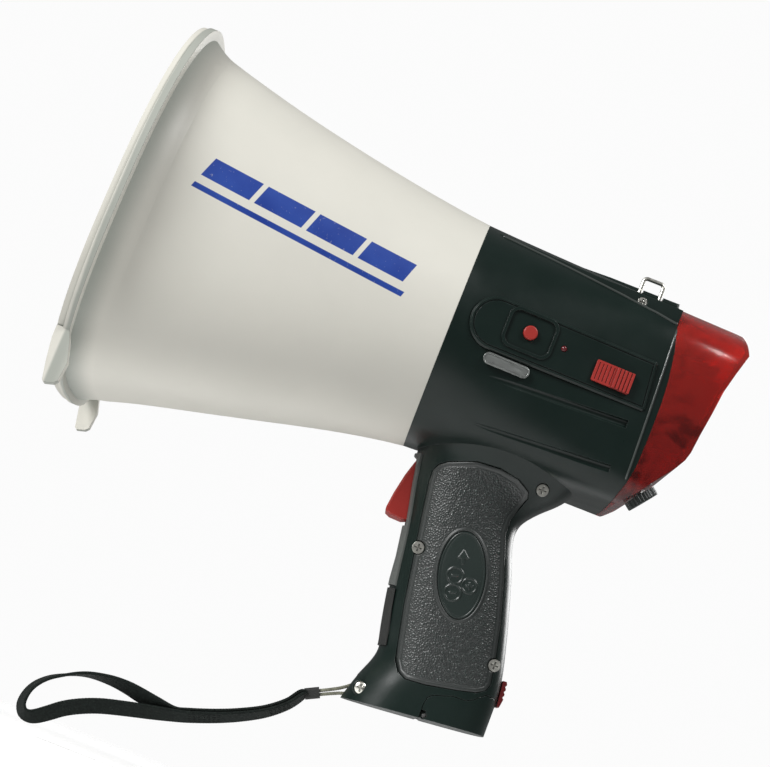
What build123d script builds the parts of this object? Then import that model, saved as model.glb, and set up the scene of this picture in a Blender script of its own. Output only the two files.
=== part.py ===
from build123d import *
import os
from math import sin, cos, radians, degrees, atan2, hypot, pi

# A hand-held megaphone: bell with folded horn, housing with pistol grip, driver, electronics,
# batteries, a translucent rear housing and a wrist strap. One STEP file for each piece.
# Layout frame, millimetres: the origin is where the horn axis meets the bell / housing joint
# plane. +X runs rearward along the horn axis (the mouth is at -X), +Z is up, and the left,
# operating side with the controls is at -Y.

os.makedirs("parts", exist_ok=True)

CUT = Mode.SUBTRACT
KEEP = Mode.INTERSECT

# ---------------------------------------------------------------- dimensions
WALL = 2.6            # housing wall
THROAT_R = 59.3       # outer radius at the bell / housing joint
MOUTH_X = -168.4      # front of the bell lip on the axis
MOUTH_LEAN = 0.013    # the mouth plane leans forward at the foot by this slope
LIP_T = 6.5           # thickness of the bell lip along the axis
LIP_FRONT_T = 3.1     # part of it that is the smaller front band
BELL_WALL = 2.4
REAR_X = 141.0        # rearmost point of the translucent rear housing
TO_ROW = (14.4, 0, 78.2)   # from the horn joint plane to the row origin
ROOF_Z = 57.2         # top of the roof ridge
RIDGE_HALF = 8.5      # half width of the roof ridge
DECK_FRONT = (6.0, 27.5)    # roof deck wall: x and half width at its front end
DECK_REAR = (104.0, 44.0)   # and at its rear end
GAP = 0.15            # clearance between fitted covers
OUT = 90              # distance from the middle plane that is outside any side of the body
PANEL_DEPTH = 1.3     # depth of the recess for the textured grip panels
PROUD = 0.9           # how far the grip front inserts stand out of the grip
HOLDER_TILT = radians(13.2)   # battery holder tilt in the grip
HOLDER_FOOT = (68.7, -175.2)  # x, z of the lower end of the holder axis
HOLDER_TOP = 101.2    # height of the upper end plate along that axis
CELL_R = 7.1          # AA cell radius
CELL_L = 49.6

# control panel: places on its face are (u rearward, v up) from its centre
PANEL_O = (55.0, -55.25, 4.5)   # centre of the face
PANEL_SLOPE = atan2(8.1, 90.0)  # the face turns in toward the rear
PANEL_X = (cos(PANEL_SLOPE), sin(PANEL_SLOPE), 0)
PANEL_N = (sin(PANEL_SLOPE), -cos(PANEL_SLOPE), 0)
BUTTON_UV = (-17.8, 1.1)
BUTTON_R = 3.5
LED_UV = (0.1, 0.3)
LED_R = 1.45
SLIDER_UV = (26.8, -3.5)
SLOT_UV = (SLIDER_UV[0] + 2.6, SLIDER_UV[1])    # middle of the slider travel
LABEL_UV = (-22.9, -17.7)
LABEL_L = 23.5
LABEL_W = 5.8

# places in side view (x, z)
TRIGGER_PIVOT = (13.2, -67.2)
TRIGGER_BORE_R = 1.55
DOOR_PIVOT = (57.3, -180.75)
LUG = (24.2, -179.4)             # screw that the strap cord loops round
SCREWS = [(71.2, -58.8), (25.2, -106.2), (80.2, -146.0)]   # grip and body screws
POST_RADII = (3.8, 3.8, 3.3)     # posts for these screws
RIDGE_SCREW = (82.9, 43.6)
RIDGE_HEAD_Y = -40.4
EMBLEM_C = (49.6, -111.6)
EMBLEM_TILT = radians(15.8)
KNOB_C = (117.6, -38.9)          # volume knob centre on the rear slope
KNOB_N = (0.786, -0.618)         # outward direction of the rear slope
STROBE = (119.4, 37.2)           # axis of the xenon tube

# round parts on the horn axis
CAP_BOLTS = (46, 4, 45)          # circle radius, count, start angle
HORN_BOLTS = (22, 4, 0)

# microphone
MIC_Z = 7
CUP_W, CUP_H, CUP_CORNER = 54, 38, 16    # opening for the microphone cup

# upper body sections, (y, z) from top centre round to bottom centre
SEC_FRONT = [
    (0, THROAT_R), (9, 58.6), (22, 55.07), (34, 48.58), (44, 39.76), (52.5, 27.6), (58, 12.36),
    (58.6, -9.1), (54, -24.5), (45, -38.6), (33, -49.3), (18, -56.5), (0, -THROAT_R)]
SEC_REAR = [
    (0, 54.4), (9, 53.9), (24, 49.9), (38.5, 43.6), (45.8, 35.6), (48.4, 24), (49.4, 8),
    (49.6, -12), (49, -28), (46.4, -42), (40, -49.6), (23, -52.7), (0, -53.3)]
SEC_TAIL = [
    (0, 53.2), (9, 52.7), (22.5, 48.6), (35, 42.6), (41.6, 35), (43.8, 24), (44.6, 8),
    (44.8, -12), (44, -28), (41.8, -42), (35.5, -49.6), (21, -52.7), (0, -53.3)]
SEC_REAR_X = 103.0    # where SEC_REAR stands; SEC_FRONT is at 0, SEC_TAIL at REAR_X
BODY_STATIONS = [0, 24, 50, 78, 103, 122, REAR_X + 1.5]

# grip sections: z, front x, rear x, half width
GRIP = [
    (-30, 2, 96, 46), (-40, 4, 94, 43), (-48, 6, 91, 38.5), (-54, 7, 87, 33.5),
    (-60, 7.6, 82.2, 29.6), (-65, 8.0, 77.0, 27.6), (-70, 9.0, 72.4, 26.6),
    (-76, 10.2, 68.6, 26.2), (-84, 12.0, 68.0, 26.2), (-98, 14.9, 72.4, 26.4),
    (-112, 17.0, 77.0, 26.5), (-126, 19.0, 81.2, 26.5), (-140, 21.6, 85.0, 26.5),
    (-150, 23.8, 87.3, 26.5), (-158, 25.2, 88.4, 26.4), (-166, 23.4, 88.7, 26.2),
    (-174, 20.2, 88.8, 26.0), (-182, 17.8, 88.8, 25.8), (-192, 17.4, 88.8, 25.6)]
# half outline of a grip section: fraction of its length from the front, of its half width
EGG = [
    (0.0, 0.0), (0.012, 0.20), (0.05, 0.43), (0.13, 0.665), (0.25, 0.86), (0.42, 0.975),
    (0.60, 1.0), (0.78, 0.965), (0.90, 0.83), (0.965, 0.60), (0.992, 0.32), (1.0, 0.0)]

# outlines in side view (x, z)
RIDGE = [(34, 40), (34, 55.6), (48, 56.6), (66, ROOF_Z), (104.4, ROOF_Z), (104.4, 40)]
DECK = [(0, 20), (0, 52.6), (6, 52.4), (35, 50.3), (60, 48.3), (97, 46.8), (110, 45.6), (110, 20)]
# line where the black housing meets the translucent rear housing
SEAM = [
    (103.2, 70), (102.6, 37), (105.6, 24), (107.4, 11), (108.2, -1), (108.2, -22),
    (107.8, -34), (106.4, -43), (104, -51), (102.6, -60), (102.4, -75)]
BEHIND_SEAM = [(190, -75), (190, 70)]
TAIL = [
    (90, 75), (135.6, 75), (136.6, 55.0), (140.9, 38), (137.6, 27), (134.8, 16), (133.2, 3.6),
    (131.4, -8), (130.2, -18), (128.9, -22.4), (126.4, -26.9), (123.8, -30.6), (119.0, -37.0),
    (113.0, -45.2), (107.8, -50.6), (104, -54), (96, -56), (90, -56)]
DOOR = [
    (55.4, -200), (54.9, -175.5), (55.6, -172.3), (57.6, -170.4), (67.0, -167.3),
    (73.6, -166.9), (76.5, -165.3), (81.5, -160.8), (100, -160.8), (100, -200)]
BEZEL = [
    (5.6, -61.5), (8.2, -68.2), (11.2, -82), (14.0, -96.2), (16.6, -112), (18.0, -126.6),
    (23.4, -127.0), (19.9, -104), (16.5, -84), (13.4, -69), (11.6, -61.5)]
RIBS = [
    (16.9, -128.4), (18.6, -138), (21.4, -148), (22.9, -156.5), (28.2, -155.6), (26.9, -148),
    (24.2, -138), (22.3, -128.4)]
# textured panel on each side of the grip
PANEL = [
    (17.9, -68.2), (19.6, -64.6), (23.2, -62.2), (37.0, -57.6), (48.4, -56.9), (58.5, -58.6),
    (65.2, -62.2), (66.2, -65.0), (64.9, -69.0), (62.3, -77.1), (62.4, -84.5), (70.1, -106.0),
    (76.2, -126.6), (80.0, -143.8), (81.9, -155.2), (80.8, -158.6), (76.6, -161.6),
    (67.7, -164.0), (52.4, -167.2), (42.4, -168.0), (37.9, -166.0), (34.7, -160.9),
    (28.8, -134.0), (20.9, -90.2), (18.3, -74.1)]
# long shallow grooves on each body side: front half width and z, rear half width and z
FLUTE_X = (9.5, 96.5)
FLUTES = [(57.1, -22.4, 50.2, -17.2), (43.5, -45.4, 47.9, -40.2)]


# ------------------------------------------------------------------- helpers
def inset_ring(points, distance):
    """Moves a closed ring of points inward (the ring runs either way)."""
    following = points[1:] + points[:1]
    area = sum(a[0] * b[1] - b[0] * a[1] for a, b in zip(points, following))
    turn = 1.0 if area > 0 else -1.0
    moved = []
    for i, (x, y) in enumerate(points):
        before, after = points[i - 1], following[i]
        dx, dy = after[0] - before[0], after[1] - before[1]
        length = hypot(dx, dy)
        moved.append((x - turn * dy / length * distance, y + turn * dx / length * distance))
    return moved


def mix(start, end, t):
    return [(p[0] + (q[0] - p[0]) * t, p[1] + (q[1] - p[1]) * t) for p, q in zip(start, end)]


def body_ring(x, inset):
    """Full (y, z) section of the upper body at x."""
    if x <= SEC_REAR_X:
        half = mix(SEC_FRONT, SEC_REAR, (x / SEC_REAR_X) ** 0.85)
    else:
        half = mix(SEC_REAR, SEC_TAIL, (x - SEC_REAR_X) / (REAR_X - SEC_REAR_X))
    return inset_ring(half + [(-y, z) for y, z in reversed(half[1:-1])], inset)


def grip_ring(x_front, x_rear, half_width, inset):
    """Full (x, y) section of the grip."""
    half = [(x_front + f * (x_rear - x_front), k * half_width) for f, k in EGG]
    return inset_ring(half + [(x, -y) for x, y in reversed(half[1:-1])], inset)


def base_z(x):
    """Height of the slanted grip base."""
    return -188.7 + 0.107 * x


def yz_plane(x, z=0):
    """Plane across the horn axis, facing rearward: sketch x -> Y, sketch y -> Z."""
    return Plane(origin=(x, 0, z), x_dir=(0, 1, 0), z_dir=(1, 0, 0))


def side_plane(y):
    """Plane facing left: sketch x -> X, sketch y -> Z."""
    return Plane(origin=(0, y, 0), x_dir=(1, 0, 0), z_dir=(0, -1, 0))


def right_plane(y, x=0, z=0):
    """Plane facing right: sketch x -> X, sketch y -> -Z."""
    return Plane(origin=(x, y, z), x_dir=(1, 0, 0), z_dir=(0, 1, 0))


def lean_plane(x, lean):
    return Plane(origin=(x, 0, 0), x_dir=(0, 1, 0), z_dir=(1, 0, -lean))


def panel_plane(depth=0.0, u=0.0, v=0.0):
    """Plane parallel to the control panel face, depth below it (into the body)."""
    x, y, z = [PANEL_O[i] + PANEL_X[i] * u - PANEL_N[i] * depth for i in range(3)]
    return Plane(origin=(x, y, z + v), x_dir=PANEL_X, z_dir=PANEL_N)


def panel_height(shape):
    """Height of a shape's centre above the control panel face."""
    return (shape.center() - Vector(*PANEL_O)).dot(Vector(*PANEL_N))


def knob_plane(height):
    """Plane square to the volume knob axis, height outward from the rear slope."""
    return Plane(
        origin=(KNOB_C[0] + KNOB_N[0] * height, 0, KNOB_C[1] + KNOB_N[1] * height),
        x_dir=(0, 1, 0), z_dir=(KNOB_N[0], 0, KNOB_N[1]))


def holder_plane(height):
    """Plane square to the battery holder axis, height up from its foot."""
    lean_x, lean_z = sin(HOLDER_TILT), cos(HOLDER_TILT)
    return Plane(
        origin=(HOLDER_FOOT[0] - lean_x * height, 0, HOLDER_FOOT[1] + lean_z * height),
        x_dir=(lean_z, 0, lean_x), z_dir=(-lean_x, 0, lean_z))


def prism(points, y0, y1=None, grow=0.0):
    """Side view outline pushed from y0 down to y1 (-y0 if not given)."""
    with BuildPart() as solid:
        with BuildSketch(side_plane(y0)):
            with BuildLine():
                Polyline(*points, close=True)
            make_face()
            if grow:
                offset(amount=grow, kind=Kind.INTERSECTION)
        extrude(amount=y0 - (-y0 if y1 is None else y1))
    return solid.part


def block(x_span, z_span, y0, y1=None):
    """Box from y0 down to y1 (-y0 if not given)."""
    (x0, x1), (z0, z1) = x_span, z_span
    return prism([(x0, z0), (x1, z0), (x1, z1), (x0, z1)], y0, y1)


def rod(x, z, radius, y0, y1=None):
    """Cylinder along Y from y0 up to y1 (-y0 if not given)."""
    with BuildPart() as solid:
        with BuildSketch(right_plane(y0, x, z)):
            Circle(radius)
        extrude(amount=(-y0 if y1 is None else y1) - y0)
    return solid.part


def washer(x, thickness, outer, bore):
    """Ring on the horn axis."""
    with BuildPart() as solid:
        with BuildSketch(yz_plane(x)):
            Circle(outer)
            Circle(bore, mode=CUT)
        extrude(amount=thickness)
    return solid.part


def turned(profile):
    """(x, radius) profile revolved about the horn axis."""
    with BuildPart() as solid:
        with BuildSketch(Plane.XZ):
            with BuildLine():
                Polyline(*profile, close=True)
            make_face()
        revolve(axis=Axis.X)
    return solid.part


def bolt_rods(x, length, bolts, radius):
    """Cylinders along X on a bolt circle."""
    with BuildPart() as solid:
        with BuildSketch(yz_plane(x)):
            with PolarLocations(*bolts):
                Circle(radius)
        extrude(amount=length)
    return solid.part


def wire(points):
    """Round wire along a spline."""
    with BuildPart() as solid:
        with BuildLine() as path:
            Spline(*points)
        with BuildSketch(Plane(origin=path.line @ 0, z_dir=path.line % 0)):
            Circle(0.8)
        sweep(path=path.line)
    return solid.part


def cross_screw(place, head_radius, head_span, shank_radius, shank_end, slot, slot_floor):
    """Screw along Y with its head at -Y; slot is half length and half width of each bar."""
    x, z = place
    long, narrow = slot
    with BuildPart() as solid:
        add(rod(x, z, head_radius, *head_span))
        add(rod(x, z, shank_radius, head_span[1] - 0.05, shank_end))
        for dx, dz in ((long, narrow), (narrow, long)):
            add(block((x - dx, x + dx), (z - dz, z + dz), slot_floor, -OUT), mode=CUT)
    return solid.part


def panel_prism(y0, y1=None, grow=0.0):
    return prism(inset_ring(PANEL, -grow), y0, y1)


def emblem_prism(y0, y1, grow=0.0):
    with BuildPart() as solid:
        with BuildSketch(Plane(
                origin=(EMBLEM_C[0], y0, EMBLEM_C[1]),
                x_dir=(cos(EMBLEM_TILT), 0, sin(EMBLEM_TILT)), z_dir=(0, -1, 0))):
            Ellipse(11.6 + grow, 21.4 + grow)
        extrude(amount=y0 - y1)
    return solid.part


def bullet_prism(top, bottom, grow=0.0):
    """Bullet outline of the control panel pushed between two depths."""
    with BuildPart() as solid:
        with BuildSketch(panel_plane(top)):
            with BuildLine():
                ThreePointArc((-34.4, 12.6), (-47.7, -0.7), (-34.4, -14.0))
                Polyline(
                    (-34.4, -14.0), (46.2, -13.2), (47.4, -11.8), (45.2, 11.0), (44.2, 12.0),
                    (-34.4, 12.6))
            make_face()
            if grow:
                offset(amount=grow, kind=Kind.INTERSECTION)
        extrude(amount=top - bottom)
    return solid.part


# ------------------------------------------------------- master outer forms
def loft_body(inset):
    with BuildPart() as body:
        for x in BODY_STATIONS:
            with BuildSketch(yz_plane(x)):
                with BuildLine():
                    Spline(*body_ring(x, inset), periodic=True)
                make_face()
        loft()
    return body.part


def loft_grip(inset, floor=0.0):
    with BuildPart() as grip:
        for z, x_front, x_rear, half_width in GRIP:
            with BuildSketch(Plane.XY.offset(z)):
                with BuildLine():
                    Spline(*grip_ring(x_front, x_rear, half_width, inset), periodic=True)
                make_face()
        loft()
        # slanted base
        add(prism([(-20, base_z(-20) + floor), (120, base_z(120) + floor), (120, -230),
                   (-20, -230)], OUT), mode=CUT)
    return grip.part


def deck(side):
    """Roof deck wall: a wedge that rises from the shoulder and widens rearward."""
    with BuildPart() as wedge:
        with BuildSketch(Plane.XY.offset(30)):
            with BuildLine():
                Polyline(
                    (DECK_FRONT[0], side * DECK_FRONT[1]), (DECK_REAR[0], side * DECK_REAR[1]),
                    (DECK_REAR[0], side * 20), (DECK_FRONT[0], side * 20), close=True)
            make_face()
        extrude(amount=40)
        add(prism(DECK, OUT), mode=KEEP)
    return wedge.part


BODY_OUTER = loft_body(0.0)
BODY_INNER = loft_body(WALL)
GRIP_OUTER = loft_grip(0.0)
GRIP_RECESSED = loft_grip(PANEL_DEPTH)
GRIP_INNER = loft_grip(WALL, floor=WALL)
GRIP_PROUD = loft_grip(-PROUD)

with BuildPart() as ridge:
    add(prism(RIDGE, RIDGE_HALF))
    tops = ridge.faces().filter_by(lambda f: f.center().Z > 52 and abs(f.normal_at().Z) > 0.9)
    chamfer(
        [e for f in tops for e in f.edges() if abs(abs(e.center().Y) - RIDGE_HALF) < 0.01], 1.6)

with BuildPart() as outer:
    add(BODY_OUTER)
    add(GRIP_OUTER)
    add(ridge.part)
    add(deck(-1))
    add(deck(1))
    for y_front, z_front, y_rear, z_rear in FLUTES:
        for side in (-1, 1):
            start = Vector(FLUTE_X[0], side * y_front, z_front)
            run = Vector(FLUTE_X[1], side * y_rear, z_rear) - start
            with BuildSketch(Plane(origin=start, z_dir=run)):
                Circle(2.0)
            extrude(amount=run.length, mode=CUT)

with BuildPart() as inner:
    add(BODY_INNER)
    add(GRIP_INNER)

with BuildPart() as shell:
    add(outer.part)
    add(inner.part, mode=CUT)
    # nothing ahead of the joint plane or behind the seam
    add(block((-40, 0), (-62, 90), OUT), mode=CUT)
    add(prism(SEAM + BEHIND_SEAM, OUT), mode=CUT)
    add(prism(DOOR, OUT, grow=GAP), mode=CUT)


def left_surface_y(x, z):
    """Where the left side surface of the housing lies."""
    with BuildPart() as probe:
        add(rod(x, z, 0.25, -OUT, 0))
        add(outer.part, mode=KEEP)
    return probe.part.bounding_box().min.Y


SCREW_SURFACE = {place: left_surface_y(*place) for place in SCREWS}

# ------------------------------------------------------------- housing core
# screw posts between the halves
with BuildPart() as posts:
    for place, radius in zip(SCREWS, POST_RADII):
        add(rod(*place, radius, -OUT))
    add(rod(*LUG, 4.2, -OUT))
    add(rod(*RIDGE_SCREW, 3.0, -OUT, -28))
    add(inner.part, mode=KEEP)

# bore along the ridge for the shoulder strap ring, with a slot at each end
with BuildPart() as ring_groove:
    with BuildSketch(yz_plane(80.9, 55.0)):
        Circle(1.15)
    extrude(amount=13.2)
    for x in (80.9, 91.5):
        add(block((x, x + 2.6), (53.7, 60), 8.7))

with BuildPart() as core:
    add(shell.part)
    add(posts.part)
    # boss under the ridge that carries the ring bore
    add(block((78, 93), (45.5, 54), 7.5))
    # trigger bezel and rib insert openings at the grip front
    add(prism(BEZEL, 11.2, grow=0.1), mode=CUT)
    add(prism(RIBS, 12.4, grow=0.1), mode=CUT)
    add(rod(*TRIGGER_PIVOT, 3.45, -11.25), mode=CUT)
    # slot in the toe for the strap cord
    add(prism([(10, -190), (28.6, -190), (28.6, -175.4), (25.6, -173.6), (10, -173.6)], 2.7),
        mode=CUT)
    # strap screw and housing screw bores
    add(rod(*LUG, 1.7, -OUT, 17.0), mode=CUT)
    for place, y in SCREW_SURFACE.items():
        add(rod(*place, 1.65, -OUT, -y - 5.0), mode=CUT)
    add(rod(*RIDGE_SCREW, 1.1, -OUT, -29.2), mode=CUT)
    # latch slot through the rear wall of the grip
    add(block((83, 95), (-161, -149), 4.3), mode=CUT)
    # hinge clearance for the battery door, then the hinge ears
    add(rod(*DOOR_PIVOT, 2.35, -21), mode=CUT)
    for y0, y1 in ((19.0, 16.0), (-16.0, -19.0)):
        add(prism([(47.5, -180.6), (DOOR_PIVOT[0], -178.75), (DOOR_PIVOT[0], -182.3),
                   (47.5, -183.2)], y0, y1))
        add(rod(*DOOR_PIVOT, 1.95, y1, y0))
    add(rod(*DOOR_PIVOT, 1.15, -21), mode=CUT)
    add(ring_groove.part, mode=CUT)

# recess for the textured panels
with BuildPart() as panel_cut:
    add(panel_prism(OUT, grow=GAP))
    add(GRIP_RECESSED, mode=CUT)
    add(block((-10, 120), (-200, -50), OUT), mode=KEEP)


def housing_half(side):
    """Core on one side of the middle plane: 1 keeps the left half, -1 the right half."""
    with BuildPart() as half:
        add(core.part)
        with BuildSketch(Plane.XZ.offset(side * 0.05)):
            with Locations((60, -50)):
                Rectangle(400, 400)
        extrude(amount=-side * 100, mode=CUT)
        add(panel_cut.part, mode=CUT)
    return half.part


with BuildPart() as left_housing:
    add(housing_half(1))
    # opening for the control panel
    add(bullet_prism(-6, 14, GAP), mode=CUT)
    # recess for the label plate
    with BuildSketch(panel_plane(-4, *LABEL_UV)):
        SlotOverall(LABEL_L + 0.4, LABEL_W + 0.4)
    extrude(amount=-5.6, mode=CUT)
    # screw head counterbores
    for place, y in SCREW_SURFACE.items():
        add(rod(*place, 3.35, -OUT, y + 1.9), mode=CUT)
    add(rod(*LUG, 3.4, -OUT, -21.0), mode=CUT)
    add(rod(*RIDGE_SCREW, 2.5, -OUT, RIDGE_HEAD_Y + 1.5), mode=CUT)

with BuildPart() as right_housing:
    add(housing_half(-1))

# ------------------------------------------------------------ control panel
PLATE_T = 2.6          # thickness of the panel plate
SWITCH_DEPTH = 6.4     # base of the push button switch below the face
BUTTON_FLANGE = 3.4    # depth of the flanges that hold the button and the LED in
LED_FLANGE = 4.6

with BuildPart() as control_panel:
    add(bullet_prism(0, PLATE_T))
    face = control_panel.faces().filter_by(lambda f: panel_height(f) > -0.05)
    chamfer([e for f in face for e in f.edges()], 0.9)
    # skirt that reaches into the housing
    add(bullet_prism(2.5, 7.0))
    add(bullet_prism(PLATE_T, 7.1, -1.8), mode=CUT)
    # fine line just inside the outline
    add(bullet_prism(-1, 0.4, -1.7), mode=CUT)
    add(bullet_prism(0, 0.45, -2.3))
    # raised frame round the push button, with a sunk floor
    with BuildSketch(panel_plane(0.05, *BUTTON_UV)):
        RectangleRounded(25.4, 20.6, 5.2)
    extrude(amount=0.75)
    with BuildSketch(panel_plane(-1.0, *BUTTON_UV)):
        RectangleRounded(22.4, 17.6, 4.2)
    extrude(amount=-1.35, mode=CUT)
    # button hole, indicator hole, slider channel
    with BuildSketch(panel_plane(-2, *BUTTON_UV)):
        Circle(BUTTON_R + GAP)
    extrude(amount=-10, mode=CUT)
    with BuildSketch(panel_plane(-2, *LED_UV)):
        Circle(LED_R + 0.1)
    extrude(amount=-10, mode=CUT)
    with BuildSketch(panel_plane(-1, *SLOT_UV)):
        RectangleRounded(13.0, 4.4, 0.8)
    extrude(amount=-9, mode=CUT)

with BuildPart() as siren_button:
    with BuildSketch(panel_plane(BUTTON_FLANGE, *BUTTON_UV)):
        Circle(BUTTON_R)
    extrude(amount=4.9)
    fillet(siren_button.faces().sort_by(panel_height)[-1].edges(), 0.7)
    with BuildSketch(panel_plane(BUTTON_FLANGE, *BUTTON_UV)):
        Circle(4.4)
    extrude(amount=-1.0)

with BuildPart() as button_switch:
    with BuildSketch(panel_plane(SWITCH_DEPTH, *BUTTON_UV)):
        Rectangle(6, 6)
    extrude(amount=-3.6)
    with BuildSketch(panel_plane(SWITCH_DEPTH, *BUTTON_UV)):
        Circle(1.7)
    extrude(amount=0.45)

with BuildPart() as status_led:
    with BuildSketch(panel_plane(LED_FLANGE, *LED_UV)):
        Circle(LED_R)
    extrude(amount=5.4)
    fillet(status_led.faces().sort_by(panel_height)[-1].edges(), 1.2)
    with BuildSketch(panel_plane(LED_FLANGE, *LED_UV)):
        Circle(1.85)
    extrude(amount=-1.0)
    # legs
    with BuildSketch(panel_plane(LED_FLANGE + 1.0, *LED_UV)):
        with Locations((-0.9, 0), (0.9, 0)):
            Rectangle(0.5, 0.5)
    extrude(amount=-4.4)

with BuildPart() as slide_knob:
    slider_u, slider_v = SLIDER_UV
    # the cap lies on the panel face and hides the slot over its whole travel
    with BuildSketch(panel_plane(-0.12, *SLIDER_UV)):
        RectangleRounded(19.5, 10.6, 0.7)
    extrude(amount=1.5)
    # raised thumb half with fine grooves across the travel
    with BuildSketch(panel_plane(-1.6, slider_u + 5.2, slider_v)):
        Rectangle(8.8, 10.2)
    extrude(amount=1.1)
    with BuildSketch(panel_plane(-2.25, slider_u + 5.2, slider_v)):
        with GridLocations(1.9, 1, 4, 1):
            Rectangle(0.55, 10.4)
    extrude(amount=2, mode=CUT)
    with BuildSketch(panel_plane(-1.3, slider_u - 4.4, slider_v)):
        with GridLocations(1.9, 1, 5, 1):
            Rectangle(0.45, 8.6)
    extrude(amount=2, mode=CUT)
    # stem down to the switch
    with BuildSketch(panel_plane(-0.12, *SLIDER_UV)):
        Rectangle(5.0, 3.4)
    extrude(amount=-6.2)

with BuildPart() as slide_switch:
    with BuildSketch(panel_plane(4.3, *SLOT_UV)):
        Rectangle(22.0, 9.0)
    extrude(amount=-6.0)
    with BuildSketch(panel_plane(4.0, *SLOT_UV)):
        Rectangle(12.6, 4.2)
    extrude(amount=-2.6, mode=CUT)
    # terminals
    with BuildSketch(panel_plane(10.3, *SLOT_UV)):
        with GridLocations(4, 4, 4, 2):
            Rectangle(0.8, 0.5)
    extrude(amount=-3)

with BuildPart() as label_plate:
    # the recess floor lies 1.6 below the panel face plane
    with BuildSketch(panel_plane(1.55, *LABEL_UV)):
        SlotOverall(LABEL_L, LABEL_W)
    extrude(amount=1.0)
    # raised rim
    with BuildSketch(panel_plane(0.56, *LABEL_UV)):
        SlotOverall(LABEL_L, LABEL_W)
        SlotOverall(LABEL_L - 1.4, LABEL_W - 1.4, mode=CUT)
    extrude(amount=0.36)


# -------------------------------------------------- grip panels and emblems
def grip_skin(cutter):
    """Builder with the part of a cutter that fills the panel recess."""
    with BuildPart() as skin:
        add(cutter)
        add(GRIP_OUTER, mode=KEEP)
        add(GRIP_RECESSED, mode=CUT)
    return skin


def grip_panel(y_low, y_high):
    with BuildPart() as panel:
        add(grip_skin(panel_prism(y_high, y_low)).part)
        add(emblem_prism(y_high, y_low, 0.1), mode=CUT)
        for place in SCREWS:
            add(rod(*place, 3.6, y_low, y_high), mode=CUT)
    return panel


left_grip_panel = grip_panel(-OUT, 0)
right_grip_panel = grip_panel(0, OUT)
left_emblem = grip_skin(emblem_prism(0, -OUT))
right_emblem = grip_skin(emblem_prism(OUT, 0))

# --------------------------------------------------- trigger and its bezel
TRIGGER_HALF = 8.0
EAR_SPAN = (8.5, 11.1)    # bezel ears that hold the hinge pin, from the middle plane
TRIGGER = [
    (8.4, -66.0), (10.6, -63.9), (15.4, -63.8), (17.6, -67.0), (19.4, -78.0), (21.6, -88.0),
    (20.6, -91.6), (12.4, -95.2), (6.4, -95.0), (3.9, -93.9), (3.3, -91.8), (4.2, -84.0),
    (6.1, -74.0)]
SPRING_H = 4.6
PTT_X = 26.1              # front face of the switch behind the trigger
PTT_Z = -86

with BuildPart() as trigger_bezel:
    add(prism(BEZEL, EAR_SPAN[1]))
    add(GRIP_PROUD, mode=KEEP)
    add(block((-5, 30), (-97.4, -62.6), 8.35), mode=CUT)
    add(rod(*TRIGGER_PIVOT, 3.3, -EAR_SPAN[1], -EAR_SPAN[0]))
    add(rod(*TRIGGER_PIVOT, 3.3, *EAR_SPAN))
    add(rod(*TRIGGER_PIVOT, TRIGGER_BORE_R, -OUT), mode=CUT)

with BuildPart() as trigger:
    add(prism(TRIGGER, TRIGGER_HALF))
    front = trigger.edges().filter_by(
        lambda e: e.center().X < 12 and abs(abs(e.center().Y) - TRIGGER_HALF) < 0.01
        and e.center().Z < -67)
    chamfer(front, 0.8)
    # slot for the return spring round the pin
    add(prism([(5.0, -60), (18.6, -60), (18.6, -72.6), (9.2, -72.6), (9.0, -66)], 3.5), mode=CUT)
    add(rod(*TRIGGER_PIVOT, TRIGGER_BORE_R, -OUT), mode=CUT)

with BuildPart() as trigger_pin:
    add(rod(*TRIGGER_PIVOT, 1.5, -11.0))

with BuildPart() as trigger_spring:
    with BuildLine() as coil_path:
        Helix(
            pitch=1.15, height=SPRING_H, radius=2.35, direction=(0, 1, 0),
            center=(TRIGGER_PIVOT[0], -SPRING_H / 2, TRIGGER_PIVOT[1]))
    with BuildSketch(Plane(origin=coil_path.line @ 0, z_dir=coil_path.line % 0)):
        Circle(0.33)
    sweep(path=coil_path.line)

with BuildPart() as ptt_switch:
    with BuildSketch(yz_plane(PTT_X, PTT_Z)):
        Rectangle(12, 10)
    extrude(amount=5.2)
    # plunger
    with BuildSketch(yz_plane(PTT_X, PTT_Z)):
        Rectangle(3, 2)
    extrude(amount=-1.2)
    # terminals
    with BuildSketch(yz_plane(PTT_X + 5.2, PTT_Z)):
        with Locations((-4, 0), (0, 0), (4, 0)):
            Rectangle(0.6, 2.4)
    extrude(amount=1.6)

with BuildPart() as rib_insert:
    add(prism(RIBS, 12.25))
    add(GRIP_PROUD, mode=KEEP)
    # grooves that leave finger ribs across the front
    for i in range(9):
        z = -131.0 - 2.75 * i
        x = 17.5 + 0.2 * (-128.4 - z)
        add(rod(x - 1.55, z, 1.15, -13), mode=CUT)

# -------------------------------------------------------------------- bell
# section: half width, upper and lower height, upper and lower squareness, centre z
BELL = [  # x, section, lean of the plane
    (-164.4, (100.4, 101.0, 92.0, 2.15, 2.9, -5.0), MOUTH_LEAN),
    (-160.5, (94.8, 98.2, 90.4, 2.15, 3.0, -5.0), MOUTH_LEAN),
    (-156, (90.8, 95.4, 88.6, 2.15, 3.1, -5.0), MOUTH_LEAN),
    (-149, (87.2, 92.2, 86.9, 2.15, 3.2, -4.7), MOUTH_LEAN),
    (-138, (84.0, 88.4, 84.3, 2.2, 3.2, -4.1), 0.012),
    (-115, (79.0, 81.5, 80.0, 2.2, 3.0, -3.0), 0.010),
    (-75, (71.5, 72.0, 72.5, 2.1, 2.6, -1.6), 0.008),
    (-35, (64.3, 64.3, 64.5, 2.03, 2.3, -0.5), 0.004),
    (0.0, (THROAT_R, THROAT_R, THROAT_R, 2.0, 2.0, 0.0), 0.0),
]
LIP = (105.3, 104.0, 94.0, 2.15, 2.9, -5.0)
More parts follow.
